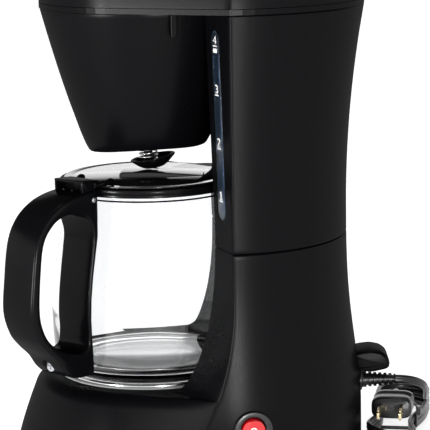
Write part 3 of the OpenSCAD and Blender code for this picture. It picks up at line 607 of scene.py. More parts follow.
def make_prongs():
    """Two flat blades with rounded tips and a hole near the end of each."""
    bm = bmesh.new()
    mid = PLUG_Z + PLUG_H / 2
    for u in (-6.35, 6.35):
        outline = soft_corners([(PLUG_L - 0.5, -3.1), (PLUG_L + 14.5, -3.1), (PLUG_L + 16.5, -1.8),
                                (PLUG_L + 16.5, 1.8), (PLUG_L + 14.5, 3.1), (PLUG_L - 0.5, 3.1)], 0.8, n=3)
        blade = bmesh.new()
        add_prism(blade, outline, 1.5, lambda a, b, w, u=u: from_hank(PLUG_X + a, u + w, mid + b), edge=0.3)
        across = Vector(from_hank(0, 1, 0)) - Vector(from_hank(0, 0, 0))
        add_bmesh(bm, carved(blade, tube_cutter(from_hank(PLUG_X + PLUG_L + 12.4, u, mid), across, 1.5, 4)))
    return finish_piece("plug_blades", bm, "housing", BRASS, "prong_brass", "plug_prongs")


def make_relief():
    """Strain relief: flange in the wall and a ribbed taper around the cord."""
    x0, y0, z0 = RELIEF_AT
    profile = [(0, -6), (4.3, -6), (4.4, 0.4), (6.2, 0.4), (6.5, 0.7), (6.5, 1.6), (6.1, 2.0), (4.9, 2.1)]
    ribs = 6
    for k in range(ribs):
        y = 3 + k * 3.0
        r = 4.8 - 1.7 * (y - 2) / 20
        profile += [(r, y), (r, y + 1.7), (r - 1.1, y + 1.8), (r - 1.1, y + 2.9)]
    profile += [(3.1, 21.2), (3.0, 22), (0, 22)]
    bm = bmesh.new()
    add_lathe(bm, profile, n=32, move=lambda x, y, z: (x0 + x, y0 + z, z0 + y))
    return finish_piece("cord_relief", bm, "housing", CORD_PVC, "cord_pvc", "strain_relief", sharp=40)


cord, cord_points = make_cord()
tie = make_tie()
plug = make_plug()
prongs = make_prongs()
relief = make_relief()
CORD_LENGTH = round(path_length(cord_points) * MM, 4)
place(cord_points[0])
[place(p) for p in cord_points]

# ---- housing's shape, as in the CAD source ----
WALL = 2.4
DECK_Z = 50.0
SEAM_Z = 131.0
COLUMN_TOP = 262.0
WAIST_Z = 145.0
COLUMN_C = 41.0
WAIST_BACK = 114.0
WAIST_HALF = 76.0
FOOT_R, SHOULDER_R, FOOT_HALF = 80.0, 67.0, 84.0
RECESS_R = 61.5
WELL_R = 53.0
BOWL_Z, BOWL_FOOT_R, BOWL_R = 181.0, 33.0, 60.0
WING_Y, CORNER_Y = 37.5, 47.5
FEET_H = 3.0


def above(z):
    """Growth of the column's plan from the waist up to its top."""
    return (max(z - WAIST_Z, 0) / (COLUMN_TOP - WAIST_Z)) ** 2


def below(z):
    """Growth of the column's plan from the waist down to the foot."""
    return ease((max(WAIST_Z - z, 0) / 115) ** 1.6)


def back_r(z):
    """Depth of the side arc behind the column's middle."""
    return WAIST_BACK - COLUMN_C + 11 * above(z) + 8 * below(z)


def half_w(z):
    """Half width of the column's plan."""
    return WAIST_HALF + 5 * above(z) + (FOOT_HALF - WAIST_HALF) * below(z)


def front_r(z):
    """Radius of the foot's front, with a rounded shoulder below the deck."""
    lean = (max(z - 8, 0) / (DECK_Z - 11)) ** 1.2
    u = max(z - DECK_Z + 6, 0) / 6
    return FOOT_R - (FOOT_R - SHOULDER_R) * lean - 7 * (1 - sqrt(max(1 - u * u, 0)))


def crease(z):
    """Place in Y of the crease between side and front."""
    return CORNER_Y - 17 * (max(104 - z, 0) / 72) ** 2


def wing(z):
    """Place in Y of the tips of the wings beside the recess."""
    t = min(max(SEAM_Z - z, 0) / (SEAM_Z - DECK_Z + 1), 1)
    sweep_in = 28 * (1 - sqrt(max(1 - t * t, 0)))
    return WING_Y - sweep_in - 3.5 * max(z - WAIST_Z, 0) / (COLUMN_TOP - WAIST_Z)


def side_arc(z, w):
    """The column's wall from one crease round the back to the other, moved in by w."""
    n = 96
    b, a = back_r(z) - w, half_w(z) - w
    t0 = asin((crease(z) + 0.4 * w - COLUMN_C) / b)
    out = []
    for i in range(n + 1):
        t = t0 + (pi - 2 * t0) * i / n
        c = 1 if t < 0 else -1 if t > pi else cos(t)
        out.append((c * a, COLUMN_C + b * sin(t), z))
    return out


def between(p, q, n):
    """n points between two points, ends left out."""
    return [tuple(p[k] + (q[k] - p[k]) * i / (n + 1) for k in range(3)) for i in range(1, n + 1)]


def joined(side, front, n, bend, edge=0):
    """Side and front joined by straight walls, with bent corners where the walls start and end."""
    ring = side + between(side[-1], front[0], n) + front + between(front[-1], side[0], n)
    radii = [0] * len(ring)
    radii[0] = radii[len(side) - 1] = bend
    first = len(side) + n
    radii[first] = radii[first + len(front) - 1] = edge
    return soft_corners(ring, radii, n=5)


def level_arc(r, start, end, n, z):
    return [(x, y, z) for x, y in arc(r, start, end, n)]


def front_tangent(c, r):
    """Angle of the point where a straight wall from c touches the front circle."""
    return atan2(c[1], c[0]) - acos(r / hypot(c[0], c[1]))


def base_ring(z, w):
    """The foot's outline at a height, moved in by w."""
    s = side_arc(z, w)
    r = front_r(z) - w
    t = front_tangent(s[0], r)
    return joined(s, level_arc(r, pi - t, 2 * pi + t, 72, z), 8, bend=1.6)


def column_ring(z, w):
    """The column's outline with the recess for the carafe, moved in by w."""
    r = RECESS_R + w
    t = acos((wing(z) + 1.1 * w) / r)
    recess = level_arc(r, pi / 2 + t, pi / 2 - t, 56, z)
    return joined(side_arc(z, w), recess, 4, bend=2.2, edge=1.1)


def head_ring(z, w):
    """The head's outline: the column's top with a round front over the bowl, moved in by w."""
    s = [(p[0], p[1], z) for p in side_arc(COLUMN_TOP, w)]
    r = BOWL_R + 0.4 - w
    t = front_tangent(s[0], r)
    return joined(s, level_arc(r, pi - t, 2 * pi + t, 72, z), 6, bend=4.0)


# Frame of the switch: +X outwards, +Z up
SWITCH_TURN = radians(11)
SWITCH_AT = (82.3, 57.0, 29.0)


def at_switch(x, y, z):
    u, v = turned(x, y, SWITCH_TURN)
    return (SWITCH_AT[0] + u, SWITCH_AT[1] + v, SWITCH_AT[2] + z)


def slot_outline(r, half):
    """Upright outline with round ends, as (y, z) points."""
    top = [(y, half + z) for y, z in arc(r, 0, pi, 24)]
    return top + [(-y, -z) for y, z in top]


def make_base():
    """Lower housing: foot, rounded deck, plate well and the stub of the column."""
    bm = bmesh.new()
    outer_z = [FEET_H, 3.4] + span(4.2, 44, 24)
    outer_z += [44 + 6 * sin(pi / 2 * k / 8) for k in range(1, 9)]
    outer = [base_ring(z, 0.5 if z == FEET_H else 0) for z in outer_z]
    deck = outer[-1]

    def to_well(z, r):
        return [(*Vector(p[:2]).normalized() * r, z) for p in deck]
    rim = to_well(DECK_Z, WELL_R + 0.6)
    halfway = [((p[0] + q[0]) / 2, (p[1] + q[1]) / 2, DECK_Z) for p, q in zip(deck, rim)]
    inner_z = [47, 44, 38, 28, 18, FEET_H + 0.6, FEET_H]
    inner = [base_ring(z, WALL) for z in inner_z]
    rings = outer + [halfway, rim, to_well(DECK_Z - 0.6, WELL_R), to_well(47, WELL_R)]
    add_rings(bm, rings + inner, closed=True)
    switch_hole = bar(slot_outline(9.6, 4.4), lambda y, z, x: at_switch(x, y, z), -8, 8)
    bm = carved(bm, switch_hole, tube_cutter(RELIEF_AT, (0, 1, 0), 4.6, 16),
                *[tube_cutter((x, 84, DECK_Z), (0, 0, 1), 5.7, 10) for x in (-30, 30)])
    top = SEAM_Z - 0.3
    low_z = span(DECK_Z - 1, top - 1.2, 34) + [top - 0.5, top - 0.15, top]
    inset = {top - 0.5: 0.12, top - 0.15: 0.4, top: 0.8}
    outside = [column_ring(z, inset.get(z, 0)) for z in low_z]
    inside = [column_ring(z, WALL) for z in (top, 110, 90, 70, 60, 52, DECK_Z - 1)]
    add_rings(bm, outside + inside, closed=True)
    hood = soft_corners([(-4, 7.6), (8, 7), (15, 8.4), (17.6, 9.6), (18, 13), (16.6, 16.6), (13, 19.4),
                         (7, 20.6), (0, 19.8), (-4, 18.4)], 1.6, n=3)
    add_prism(bm, hood, 24, lambda u, v, w: (RELIEF_AT[0] + w, RELIEF_AT[1] + u, RELIEF_AT[2] + v),
              edge=2.4, steps=5)
    return finish_piece("base_shell", bm, "housing", SATIN_BLACK, "black_plastic", "base_housing")


def make_column():
    """Water column above the seam, with the window's slot."""
    bm = bmesh.new()
    z0 = SEAM_Z
    zs = [z0, z0 + 0.15, z0 + 0.5, z0 + 1.1] + span(z0 + 2.5, COLUMN_TOP - 0.6, 44) + [COLUMN_TOP]
    inset = {z0: 0.8, z0 + 0.15: 0.4, z0 + 0.5: 0.12, COLUMN_TOP: 0.4}
    outside = [column_ring(z, inset.get(z, 0)) for z in zs]
    inside = [column_ring(z, WALL) for z in span(COLUMN_TOP, z0, 10)]
    add_rings(bm, outside + inside, closed=True)
    bm = carved(bm, lambda tool: add_rings(tool, [window_ring(x, WINDOW_HALF) for x in (-8, 6)]))
    return finish_piece("column_skin", bm, "housing", SATIN_BLACK, "black_plastic", "column_shell")


# Frame of the wing's front face on the switch side: +X outwards, Z is the height
FACE_MID = (61.2, 40.9, 195.0)
FACE_TURN = radians(-67.5)
FACE_LEAN = radians(1.5)
WINDOW_BOTTOM, WINDOW_TOP, WINDOW_HALF = 147.5, 253.0, 5.2
CUP_TICKS = (158.0, 187.5, 217.0, 244.0)


def at_window(x, y, z):
    """A point off the wing's leaning front face."""
    out, up = turned(x, z - FACE_MID[2], -FACE_LEAN)
    u, v = turned(out, y, FACE_TURN)
    return (FACE_MID[0] + u, FACE_MID[1] + v, FACE_MID[2] + up)


def window_ring(x, r):
    """The slot's outline with ends of radius r, at x off the wing's face."""
    mid = (WINDOW_TOP + WINDOW_BOTTOM) / 2
    half = (WINDOW_TOP - WINDOW_BOTTOM) / 2 - WINDOW_HALF
    return [at_window(x, y, mid + z) for y, z in slot_outline(r, half)]


def make_window():
    """Gauge window: a lens in the slot and a flange behind the wall."""
    bm = bmesh.new()
    h = WINDOW_HALF
    add_rings(bm, [window_ring(x, r) for x, r in
                   ((-3.9, h - 2), (-3.9, h + 1.2), (-2.5, h + 1.2), (-2.5, h - 0.15), (-0.2, h - 0.15),
                    (0.1, h - 0.5), (0.2, h - 1.2), (0.2, 0.6), (-2.3, 0.6), (-2.3, h - 2))], closed=True)
    add_rings(bm, [window_ring(0.2, 0.61), window_ring(-2.3, 0.61)])
    return finish_piece("gauge_window", bm, "housing", WINDOW_TINT, "window_plastic", "water_window",
                        sharp=40)


DIGIT_STROKES = {
    1: [[(-0.5, 1.0), (0.1, 1.5), (0.1, -1.5)], [(-0.6, -1.5), (0.8, -1.5)]],
    2: [[(-0.8, 0.9), (-0.5, 1.4), (0.2, 1.5), (0.8, 1.1), (0.7, 0.4), (-0.8, -1.5), (0.9, -1.5)]],
    3: [[(-0.8, 1.2), (0, 1.5), (0.7, 1.1), (0.6, 0.4), (-0.1, 0.1), (0.7, -0.3), (0.8, -1.0), (0.1, -1.5),
         (-0.8, -1.2)]],
    4: [[(0.5, -1.5), (0.5, 1.5), (-0.9, -0.6), (0.95, -0.6)]],
}


def add_stroke(bm, points, width, height, at):
    """A printed stroke: a thin bar with mitred bends along a line of points."""
    rings = []
    for i, p in enumerate(points):
        d = (Vector(points[min(i + 1, len(points) - 1)]) - Vector(points[max(i - 1, 0)])).normalized()
        side = Vector((-d.y, d.x)) * width / 2
        l, r = Vector(p) + side, Vector(p) - side
        rings.append([at(0, *l), at(0, *r), at(height, *r), at(height, *l)])
    add_rings(bm, rings)


def make_marks():
    """Cup ticks with the cups' numbers above them, and a block below the fourth."""
    bm = bmesh.new()
    x0, thick, half = 0.22, 0.12, 2.6

    def tick(low, high):
        corners = ((-half, low), (half, low), (half, high), (-half, high))
        bar(corners, lambda y, z, x: at_window(x, y, z), x0, x0 + thick)(bm)
    for i, z in enumerate(CUP_TICKS):
        tick(z, z + 0.7)
        for stroke in DIGIT_STROKES[i + 1]:
            add_stroke(bm, stroke, 0.5, thick,
                       lambda h, u, v, base=z + 3.7: at_window(x0 + h, u * 2.1, base + v * 1.4))
    tick(CUP_TICKS[3] - 3.4, CUP_TICKS[3] - 1)
    return finish_piece("gauge_print", bm, "housing", PRINT, "white_print", "window_marks")


# ---- brew head ----
def bowl_at(z):
    return BOWL_FOOT_R + (BOWL_R - BOWL_FOOT_R) * max((z - BOWL_Z) / (COLUMN_TOP - BOWL_Z), 0) ** 0.78


def make_bowl():
    """Brew bowl: a flared wall with a rounded foot and a hole in the middle."""
    bm = bmesh.new()
    side = [(bowl_at(z), z) for z in span(BOWL_Z + 1.6, COLUMN_TOP - 0.8, 40)]
    foot = spline([(bowl_at(BOWL_Z + 1.6), BOWL_Z + 1.6), (bowl_at(BOWL_Z + 0.7) - 0.5, BOWL_Z + 0.5),
                   (BOWL_FOOT_R - 1.6, BOWL_Z)], 4)
    inner = [(bowl_at(z) - WALL, z) for z in span(COLUMN_TOP, BOWL_Z + WALL, 24)]
    profile = [(5.0, BOWL_Z + WALL), (5.0, BOWL_Z), (20, BOWL_Z)] + foot[:0:-1]
    profile += side + [(BOWL_R - 0.3, COLUMN_TOP)] + inner

    def settle(x, y, z):
        """The foot's rim dips at the front and rises towards the sides."""
        a = atan2(x, -y)
        near = 1 - ease((z - BOWL_Z) / 22)
        lift = 0.98 - 1.6 * cos(a) - 1.28 * cos(2 * a)
        return (x, y, z + lift * near * min(hypot(x, y) / BOWL_FOOT_R, 1) ** 3)
    add_lathe(bm, profile, n=160, move=settle, closed=True)
    return finish_piece("bowl_shell", bm, "housing", SATIN_BLACK, "black_plastic", "brew_bowl")


def make_clips():
    """Clips over the bowl's rim: a rounded tongue with a raised edge."""
    bm = bmesh.new()
    top = COLUMN_TOP + 0.3
    for s in (-1, 1):
        turn = radians(16.5)

        def at(x, y, z, s=s):
            u, v = turned(BOWL_R + 0.5 + x, y, turn)
            return (s * u, v, z)
        r = 2.1
        bottom = top - 12

        def outline(q):
            return [(x, bottom + y) for x, y in arc(q, pi, 2 * pi, 12)] + [(q, top), (-q, top)]
        rings = [[at(x, y, z) for y, z in outline(q)] for x, q in
                 ((0, r), (1.0, r), (1.25, r - 0.15), (1.4, r - 0.45), (1.4, r - 0.8), (1.0, r - 1.0))]
        add_rings(bm, rings)
    return finish_piece("bowl_clips", bm, "housing", SATIN_BLACK, "black_plastic", "frame_clips")


def make_lid():
    """Top lid: a shallow crown over the head, with hinge ears cut in at the back."""
    bm = bmesh.new()
    lid_z, wall_h, edge, crown_z, wall, mid = 265.6, 6.5, 6.0, 280.0, 2.2, 32.0
    rise = crown_z - lid_z - wall_h - edge

    def rings(w, drop, steps):
        out = [head_ring(lid_z, w)]
        for i in range(steps + 1):
            a = pi / 2 * i / steps
            out.append(head_ring(lid_z + wall_h + (edge - drop) * sin(a), w + edge * (1 - cos(a))))
        for k in (0.93, 0.84, 0.72, 0.58, 0.42, 0.24, 0.1):
            out.append([(p[0] * k, mid + (p[1] - mid) * k, crown_z - drop - rise * k * k)
                        for p in head_ring(0, w + edge)])
        return out + [[(0, mid, crown_z - drop)]]
    outer = rings(0, 0, 9)
    inner = rings(wall, wall, 5)
    add_rings(bm, outer, first="open")
    add_rings(bm, inner[::-1], last="open")
    add_rings(bm, [outer[0], inner[0]], first="open", last="open")
    hinge = Vector((0, 118.5, 272.5))

    def block(x0, x1, y0, y1, z0, z1):
        return bar(((x0, y0), (x1, y0), (x1, y1), (x0, y1)), lambda x, y, z: (x, y, z), z0, z1)
    tools = []
    for s in (-1, 1):
        x = s * 14.25
        tools.append(tube_cutter((x, hinge.y, hinge.z), (1, 0, 0), 4.3, 6.7))
        tools.append(block(x - 3.35, x + 3.35, hinge.y, hinge.y + 8, lid_z - 1, hinge.z + 4.3))
    tools.append(block(-40, 40, hinge.y - 0.3, hinge.y + 9.7, lid_z - 1, lid_z + 4.6))
    return finish_piece("lid_shell", carved(bm, *tools), "lid", SATIN_BLACK, "black_plastic", "top_lid")


SPRING_LOW, SPRING_HIGH = 172.6, 180.7


def make_valve():
    """Drip valve: flange above the seal, stem and the tilted cup that the carafe lid lifts."""
    bm = bmesh.new()
    add_lathe(bm, [(0, 169.5), (2.6, 169.5), (2.6, 185.2), (8.2, 185.2), (8.4, 185.4), (8.4, 186.6),
                   (8.2, 186.8), (0, 186.8)], n=40)
    tilt, cup_y, cup_z = radians(10), 2.6, 175

    def tilted(x, y, z):
        v, w = turned(y, z, tilt)
        return (x, cup_y + v, cup_z + w)
    cup = soft_corners([(0, -6.3), (5.6, -6.3), (8.2, -4.9), (13, -0.9), (13.1, 0), (11.8, 0), (7.4, -3.7),
                        (0, -3.7)], 0.5, n=3, closed=False)
    add_lathe(bm, cup, n=72, move=tilted)
    return finish_piece("valve_cup", bm, "valve", GLOSS_BLACK, "valve_plastic", "drip_valve")


def make_spring():
    """Coil spring round the stem, with its upper end held by the bowl."""
    bm = bmesh.new()
    turns, steps, r, wire = 3.5, 168, 5.2, 0.55
    route = [(x, y, z) for (x, y), z in
             zip(arc(r, 0, 2 * pi * turns, steps), span(SPRING_LOW + wire, SPRING_HIGH - wire, steps))]
    sweep(bm, route, circle(wire, 10))
    spring = finish_piece("spring_coil", bm, "housing", STEEL, "sheet_steel", "valve_spring", sharp=60)
    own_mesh(spring)


# ---- warming plate ----
PLATE_R = 51.8


def make_plate():
    bm = bmesh.new()
    r, top, low = PLATE_R, 52.6, DECK_Z
    profile = [(0, low - 0.6), (r - 4, low - 0.6), (r - 1, low - 1.6), (r - 1, low - 4), (r, low - 4)]
    profile += [(r - 1.4 + x, low + 1.2 + y) for x, y in arc(1.4, 0, pi / 2, 6)]
    profile += [(40.3, top), (39.7, top - 0.15), (38.6, top - 0.6), (35.9, top - 0.6), (34.8, top - 0.15),
                (34.2, top), (0, top)]
    add_lathe(bm, profile, n=160)
    return finish_piece("plate_disc", bm, "housing", PLATE_STEEL, "plate_steel", "warming_plate")


def make_seal():
    bm = bmesh.new()
    r, well, z = PLATE_R, WELL_R, DECK_Z
    profile = [(r + 0.2, z - 3.4), (well - 0.2, z - 3.4), (well - 0.2, z + 0.2), (well + 1.1, z + 0.2),
               (well + 1.4, z + 0.3), (well + 1.3, z + 0.6), (well + 0.8, z + 0.9), (r + 0.5, z + 0.9),
               (r + 0.2, z + 0.7)]
    add_lathe(bm, profile, n=160, closed=True)
    return finish_piece("plate_ring", bm, "housing", SEAL_GREY, "silicone", "plate_seal")


# ---- carafe ----
GLASS_FOOT = 52.9
GLASS_SIDE = [(49, 0), (53, 2.4), (56.4, 9), (57.6, 20), (58, 34), (57.7, 46), (56, 59), (53.6, 72),
              (51.2, 84), (49.4, 93), (48.6, 100), (48.6, 108)]


def make_glass():
    """Blown carafe: thin wall, thick foot with a shallow dome beneath."""
    bm = bmesh.new()
    side = [(r, GLASS_FOOT + h) for r, h in spline(GLASS_SIDE, 6)]
    wall, heel_top = 1.8, 33
    base = [(0, 0.9), (30, 0.9), (42, 0.75), (44.6, 0.35), (46.4, 0.02), (47.6, 0)]
    outer = [(r, GLASS_FOOT + h) for r, h in base] + side
    lip, top = side[-1]
    rim = [(lip - 0.4, top + 0.3), (lip - 1.4, top + 0.3)]
    heel = spline([(56.1, heel_top), (55.5, 24), (54.2, 16), (51.4, 9.6), (46.8, 6), (38, 4.6), (24, 4.2)], 5)
    inner = [(r - wall, z) for r, z in reversed(side) if z > GLASS_FOOT + heel_top]
    inner += [(r, GLASS_FOOT + h) for r, h in heel] + [(0, GLASS_FOOT + 4.2)]
    add_lathe(bm, outer + rim + inner, n=160)
    return finish_piece("carafe_bowl", bm, "carafe", GLASS, "glass", "carafe_glass", sharp=50)


HANDLE_TURN = radians(46)
COLLAR_R, COLLAR_Z, COLLAR_TOP = 51.5, 158.7, 163.6


def at_handle(r, z, w):
    """A point of the handle's plane: r from the carafe's axis, z up, w across."""
    return (*turned(r, w, HANDLE_TURN - pi / 2), z)


def make_collar():
    """Plastic band round the carafe's neck, with a beak on the pouring side."""
    bm = bmesh.new()
    beak_at = pi / 2 + HANDLE_TURN
    beak_half, beak_l = 11, 7.8

    def beak_reach(angle):
        d = (angle - beak_at + pi) % (2 * pi) - pi
        y = sin(d) * COLLAR_R
        if abs(d) > 0.4 or abs(y) > beak_half:
            return 0
        x = beak_l * (1 - (abs(y) / beak_half) ** 1.35) ** 0.9
        return max(x - (COLLAR_R - sqrt(COLLAR_R ** 2 - y * y)) * 0.2, 0)

    def ring(r, z, k):
        out = []
        for x, y in circle(1, 240):
            q = r + k * beak_reach(atan2(y, x))
            out.append((q * x, q * y, z))
        return out
    low, top, r, lip = COLLAR_Z, COLLAR_TOP, COLLAR_R, GLASS_FOOT + 108.4
    rings = [ring(*q) for q in
             ((48.9, low, 0), (r - 0.9, low, 0), (r - 0.5, low + 0.3, 0), (r - 0.45, low + 1.5, 0),
              (r - 0.6, low + 1.9, 0), (r - 0.1, low + 2.1, 0.3), (r, low + 2.4, 0.9), (r, top - 0.9, 1),
              (r - 0.2, top - 0.3, 1), (r - 0.8, top, 1), (47.0, top, 0), (47.0, lip, 0), (48.9, lip, 0))]
    add_rings(bm, rings, closed=True)
    return finish_piece("neck_band", bm, "carafe", GLOSS_BLACK, "gloss_black", "carafe_collar")


def make_neck_ring():
    bm = bmesh.new()
    bead = [(48.75, 156.0), (49.3, 156.1), (49.5, 156.5), (49.3, 156.9), (48.75, 157.0)]
    add_lathe(bm, bead, n=160, closed=True)
    return finish_piece("neck_bead", bm, "carafe", GLOSS_BLACK, "gloss_black", "neck_ring")


HANDLE_OUT = [(51.9, 163.6), (60, 163), (71, 161.4), (82, 157.6), (92, 150), (98.5, 138), (102, 116),
              (103.2, 99), (99, 86), (93, 78.5), (85.6, 71.5), (80.5, 64.5), (74, 59.6), (66, 58.5),
              (58, 58.5)]
HANDLE_IN = [(57.7, 66), (58.5, 80), (58.8, 90), (58.2, 102), (56.4, 115), (54.3, 126), (52.2, 137),
             (51.9, 150)]
HANDLE_HOLE = [(56.2, 139), (60, 148), (67, 151.6), (77, 151.8), (86, 147.6), (93, 138), (96, 120),
               (97.2, 100), (94, 88), (88, 80.5), (80, 75.4), (70, 72.8), (63, 74.6), (61.4, 82), (61.8, 92),
               (61, 104), (59, 118), (57.2, 129)]
HANDLE_W = 25.8
PIN_AT = (55.4, 158.2)
HANDLE_MID = Vector((75, 112))


def polar(p):
    """Angle of a point about the handle's middle."""
    return atan2(p[1] - HANDLE_MID.y, p[0] - HANDLE_MID.x)


def reach_at(outline, angle):
    """Where the ray at an angle from the handle's middle meets an outline."""
    ray = Vector((cos(angle), sin(angle)))
    for p, q in zip(outline, outline[1:] + outline[:1]):
        a, b = Vector(p) - HANDLE_MID, Vector(q) - HANDLE_MID
        ca, cb = ray.x * a.y - ray.y * a.x, ray.x * b.y - ray.y * b.x
        if ca * cb <= 0 and ca != cb:
            hit = a + (b - a) * (ca / (ca - cb))
            if hit.dot(ray) > 0:
                return hit + HANDLE_MID
    return HANDLE_MID


def make_handle():
    """Strap handle: a ring of even wall with chamfered rims on both faces."""
    outer = spline(HANDLE_OUT, 8) + HANDLE_IN
    hole = spline(HANDLE_HOLE, 7, closed=True)
    angles = []
    for angle in sorted(polar(p) for p in outer + hole):
        if not angles or angle - angles[-1] > 0.004:
            angles.append(angle)
    outside = [reach_at(outer, angle) for angle in angles]
    inside = [reach_at(hole, angle) for angle in angles]
    half, rim, rim_in = HANDLE_W / 2, 1.5, 1.1
    chamfer = ((0, 1), (0.15, 0.6), (0.6, 0.15), (1, 0))
    section = [(outside, -u * rim, half - v * rim) for u, v in chamfer]
    section += [(inside, u * rim_in, half - v * rim_in) for u, v in reversed(chamfer)]
    section += [(line, out, -w) for line, out, w in reversed(section)]
    bm = bmesh.new()
    add_rings(bm, [[at_handle(*p, w) for p in grown(line, out)] for line, out, w in section], closed=True)
    seat = bar(((51, 160.2), (63.4, 160.2), (63.4, 166), (51, 166)), at_handle, -11.9, 11.9)
    ahead = at_handle(1, 0, 0)
    bm = carved(bm, seat, tube_cutter(at_handle(88, 66, 0), ahead, 3.8, 20),
                tube_cutter(at_handle(72, 66, 0), ahead, 1.65, 20))
    return finish_piece("handle_ring", bm, "carafe", GLOSS_BLACK, "gloss_black", "carafe_handle")


def make_carafe_lid():
    """Carafe lid: a disc with a thin bright edge and the ramp that lifts the drip valve."""
    bm = bmesh.new()
    low, z = COLLAR_TOP, COLLAR_TOP + 0.3
    add_lathe(bm, [(0, low - 1), (44.8, low - 1), (44.8, low - 5), (46.2, low - 5), (46.6, low - 4.6),
                   (46.6, z), (48.2, z), (48.5, z + 0.3), (48.5, z + 0.6), (48.2, z + 0.9), (44.5, z + 0.9),
                   (44, z + 0.6), (43, z + 0.6), (42.5, z + 0.9), (0, z + 0.9)], n=144)
    spout = HANDLE_TURN + pi / 2
    gap = bar(((41, -40), (61, -40), (61, 40), (41, 40)), lambda x, y, h: (*turned(x, y, spout), h),
              low - 6, low + 6)
    vents = [tube_cutter((x, 4, 163), (0, 0, 1), 2, 20) for x in (-4, 4)]
    bm = carved(bm, gap, *vents)
    ramp_bm = bmesh.new()
    top = 167.4
    side = soft_corners([(-16.5, z - 0.5), (-16.5, top - 0.6), (-15, top), (2, top), (32, z + 1.2), (33, z),
                         (32, z - 0.5)], 0.6, n=2)
    add_rings(ramp_bm, [[(w, y, max(h - drop, z - 0.5)) for y, h in side] for w, drop in
                        ((-11, 0.5), (-10.7, 0.12), (-10, 0), (10, 0), (10.7, 0.12), (11, 0.5))])
    add_bmesh(bm, carved(ramp_bm, *vents))
    return finish_piece("carafe_cap", bm, "carafe", LID_BLACK, "gloss_black", "carafe_lid")


LEVER_W = 23.0


def make_lever():
    """Thumb lever of the carafe lid: a box open outwards, between two cheeks that end in ears."""
    outline = soft_corners([(48.9, 164.9), (52.8, 164.9), (52.8, 160.8), (62.6, 161.4), (62.9, 169.2),
                            (50, 168.6), (48.9, 167)], 0.5, n=2)
    bm = bmesh.new()
    add_prism(bm, outline, LEVER_W, at_handle, edge=0.5)
    hollow = ((56, 162.4), (66, 162.8), (66, 168), (56, 167.6))
    bm = carved(bm, bar(hollow, at_handle, -LEVER_W / 2 + 1.6, LEVER_W / 2 - 1.6))
    cheek = spline([(39.6, 164.8), (39.4, 167.2), (41, 168.6), (43.4, 168.2), (46.4, 166.4), (50, 166.3),
                    (53.4, 167.8)], 4) + [(54.6, 167.6), (54.6, 164.9)]
    for s in (-1, 1):
        mid = s * (LEVER_W / 2 + 0.5)
        add_prism(bm, cheek, 1.9, lambda a, b, w, mid=mid: at_handle(a, b, w + mid), edge=0.4)
    for w in (-3.5, 3.5):
        add_bmesh(bm, rivet(at_handle(62.8, 163.6, w), at_handle(1, 0, 0), 0.8, 1.6))
    return finish_piece("lever_tab", bm, "carafe", GLOSS_BLACK, "gloss_black", "lid_lever")


def rivet(centre, axis, r, length):
    """Short pin with a domed head at both ends, about an axis vector."""
    bm = bmesh.new()
    dome = r * 0.28
    ends = [(q, dome * (1 - q * q)) for q in (0.0, 0.45, 0.75, 0.93)]
    profile = [(q * r, -length / 2 - h) for q, h in ends] + [(r, -length / 2), (r, length / 2)]
    profile += [(q * r, length / 2 + h) for q, h in reversed(ends)]
    add_lathe(bm, profile, n=24, move=about(centre, axis))
    bmesh.ops.recalc_face_normals(bm, faces=bm.faces)
    return bm


def make_lever_pin():
    bm = rivet(at_handle(*PIN_AT, 0), at_handle(0, 0, 1), 1.5, HANDLE_W + 0.5)
    return finish_piece("lever_rivet", bm, "carafe", ZINC, "screw_steel", "lever_pin")


# ---- power switch ----
ROCKER_TILT = radians(9)
PIVOT_X = -2.5
# A circle hollows each face of the rocker: its radius, and its middle's place outwards and in height
DISH_R, DISH_AT, DISH_Z = 22.2, 23.4, 10


def at_rocker(x, y, z):
    """A point of the tilted rocker, which turns about its pivot."""
    out, up = turned(x - PIVOT_X, z, -ROCKER_TILT)
    return at_switch(PIVOT_X + out, y, up)


def slot_ring(at, x, r, half):
    return [at(x, y, z) for y, z in slot_outline(r, half)]


def make_bezel():
    """Bezel round the rocker, bored for the rocker's pivot."""
    bm = bmesh.new()
    h = 4.4
    add_rings(bm, [slot_ring(at_switch, x, r, k) for x, r, k in
                   ((-5, 9.3, h), (0.4, 9.3, h), (0.4, 10.8, h), (0.8, 11, h), (1.5, 11, h), (2.0, 10.7, h),
                    (2.2, 10.1, h), (2.1, 7.6, h + 0.8), (1.6, 7.0, h + 0.8), (1.0, 6.9, h + 0.8),
                    (-5, 6.9, h + 0.8))], closed=True)
    across = Vector(at_switch(0, 1, 0)) - Vector(at_switch(0, 0, 0))
    bm = carved(bm, tube_cutter(at_switch(PIVOT_X, 0, 0), across, 1.25, 17.6))
    return finish_piece("switch_frame", bm, "housing", BEZEL_BLACK, "black_plastic", "switch_bezel")


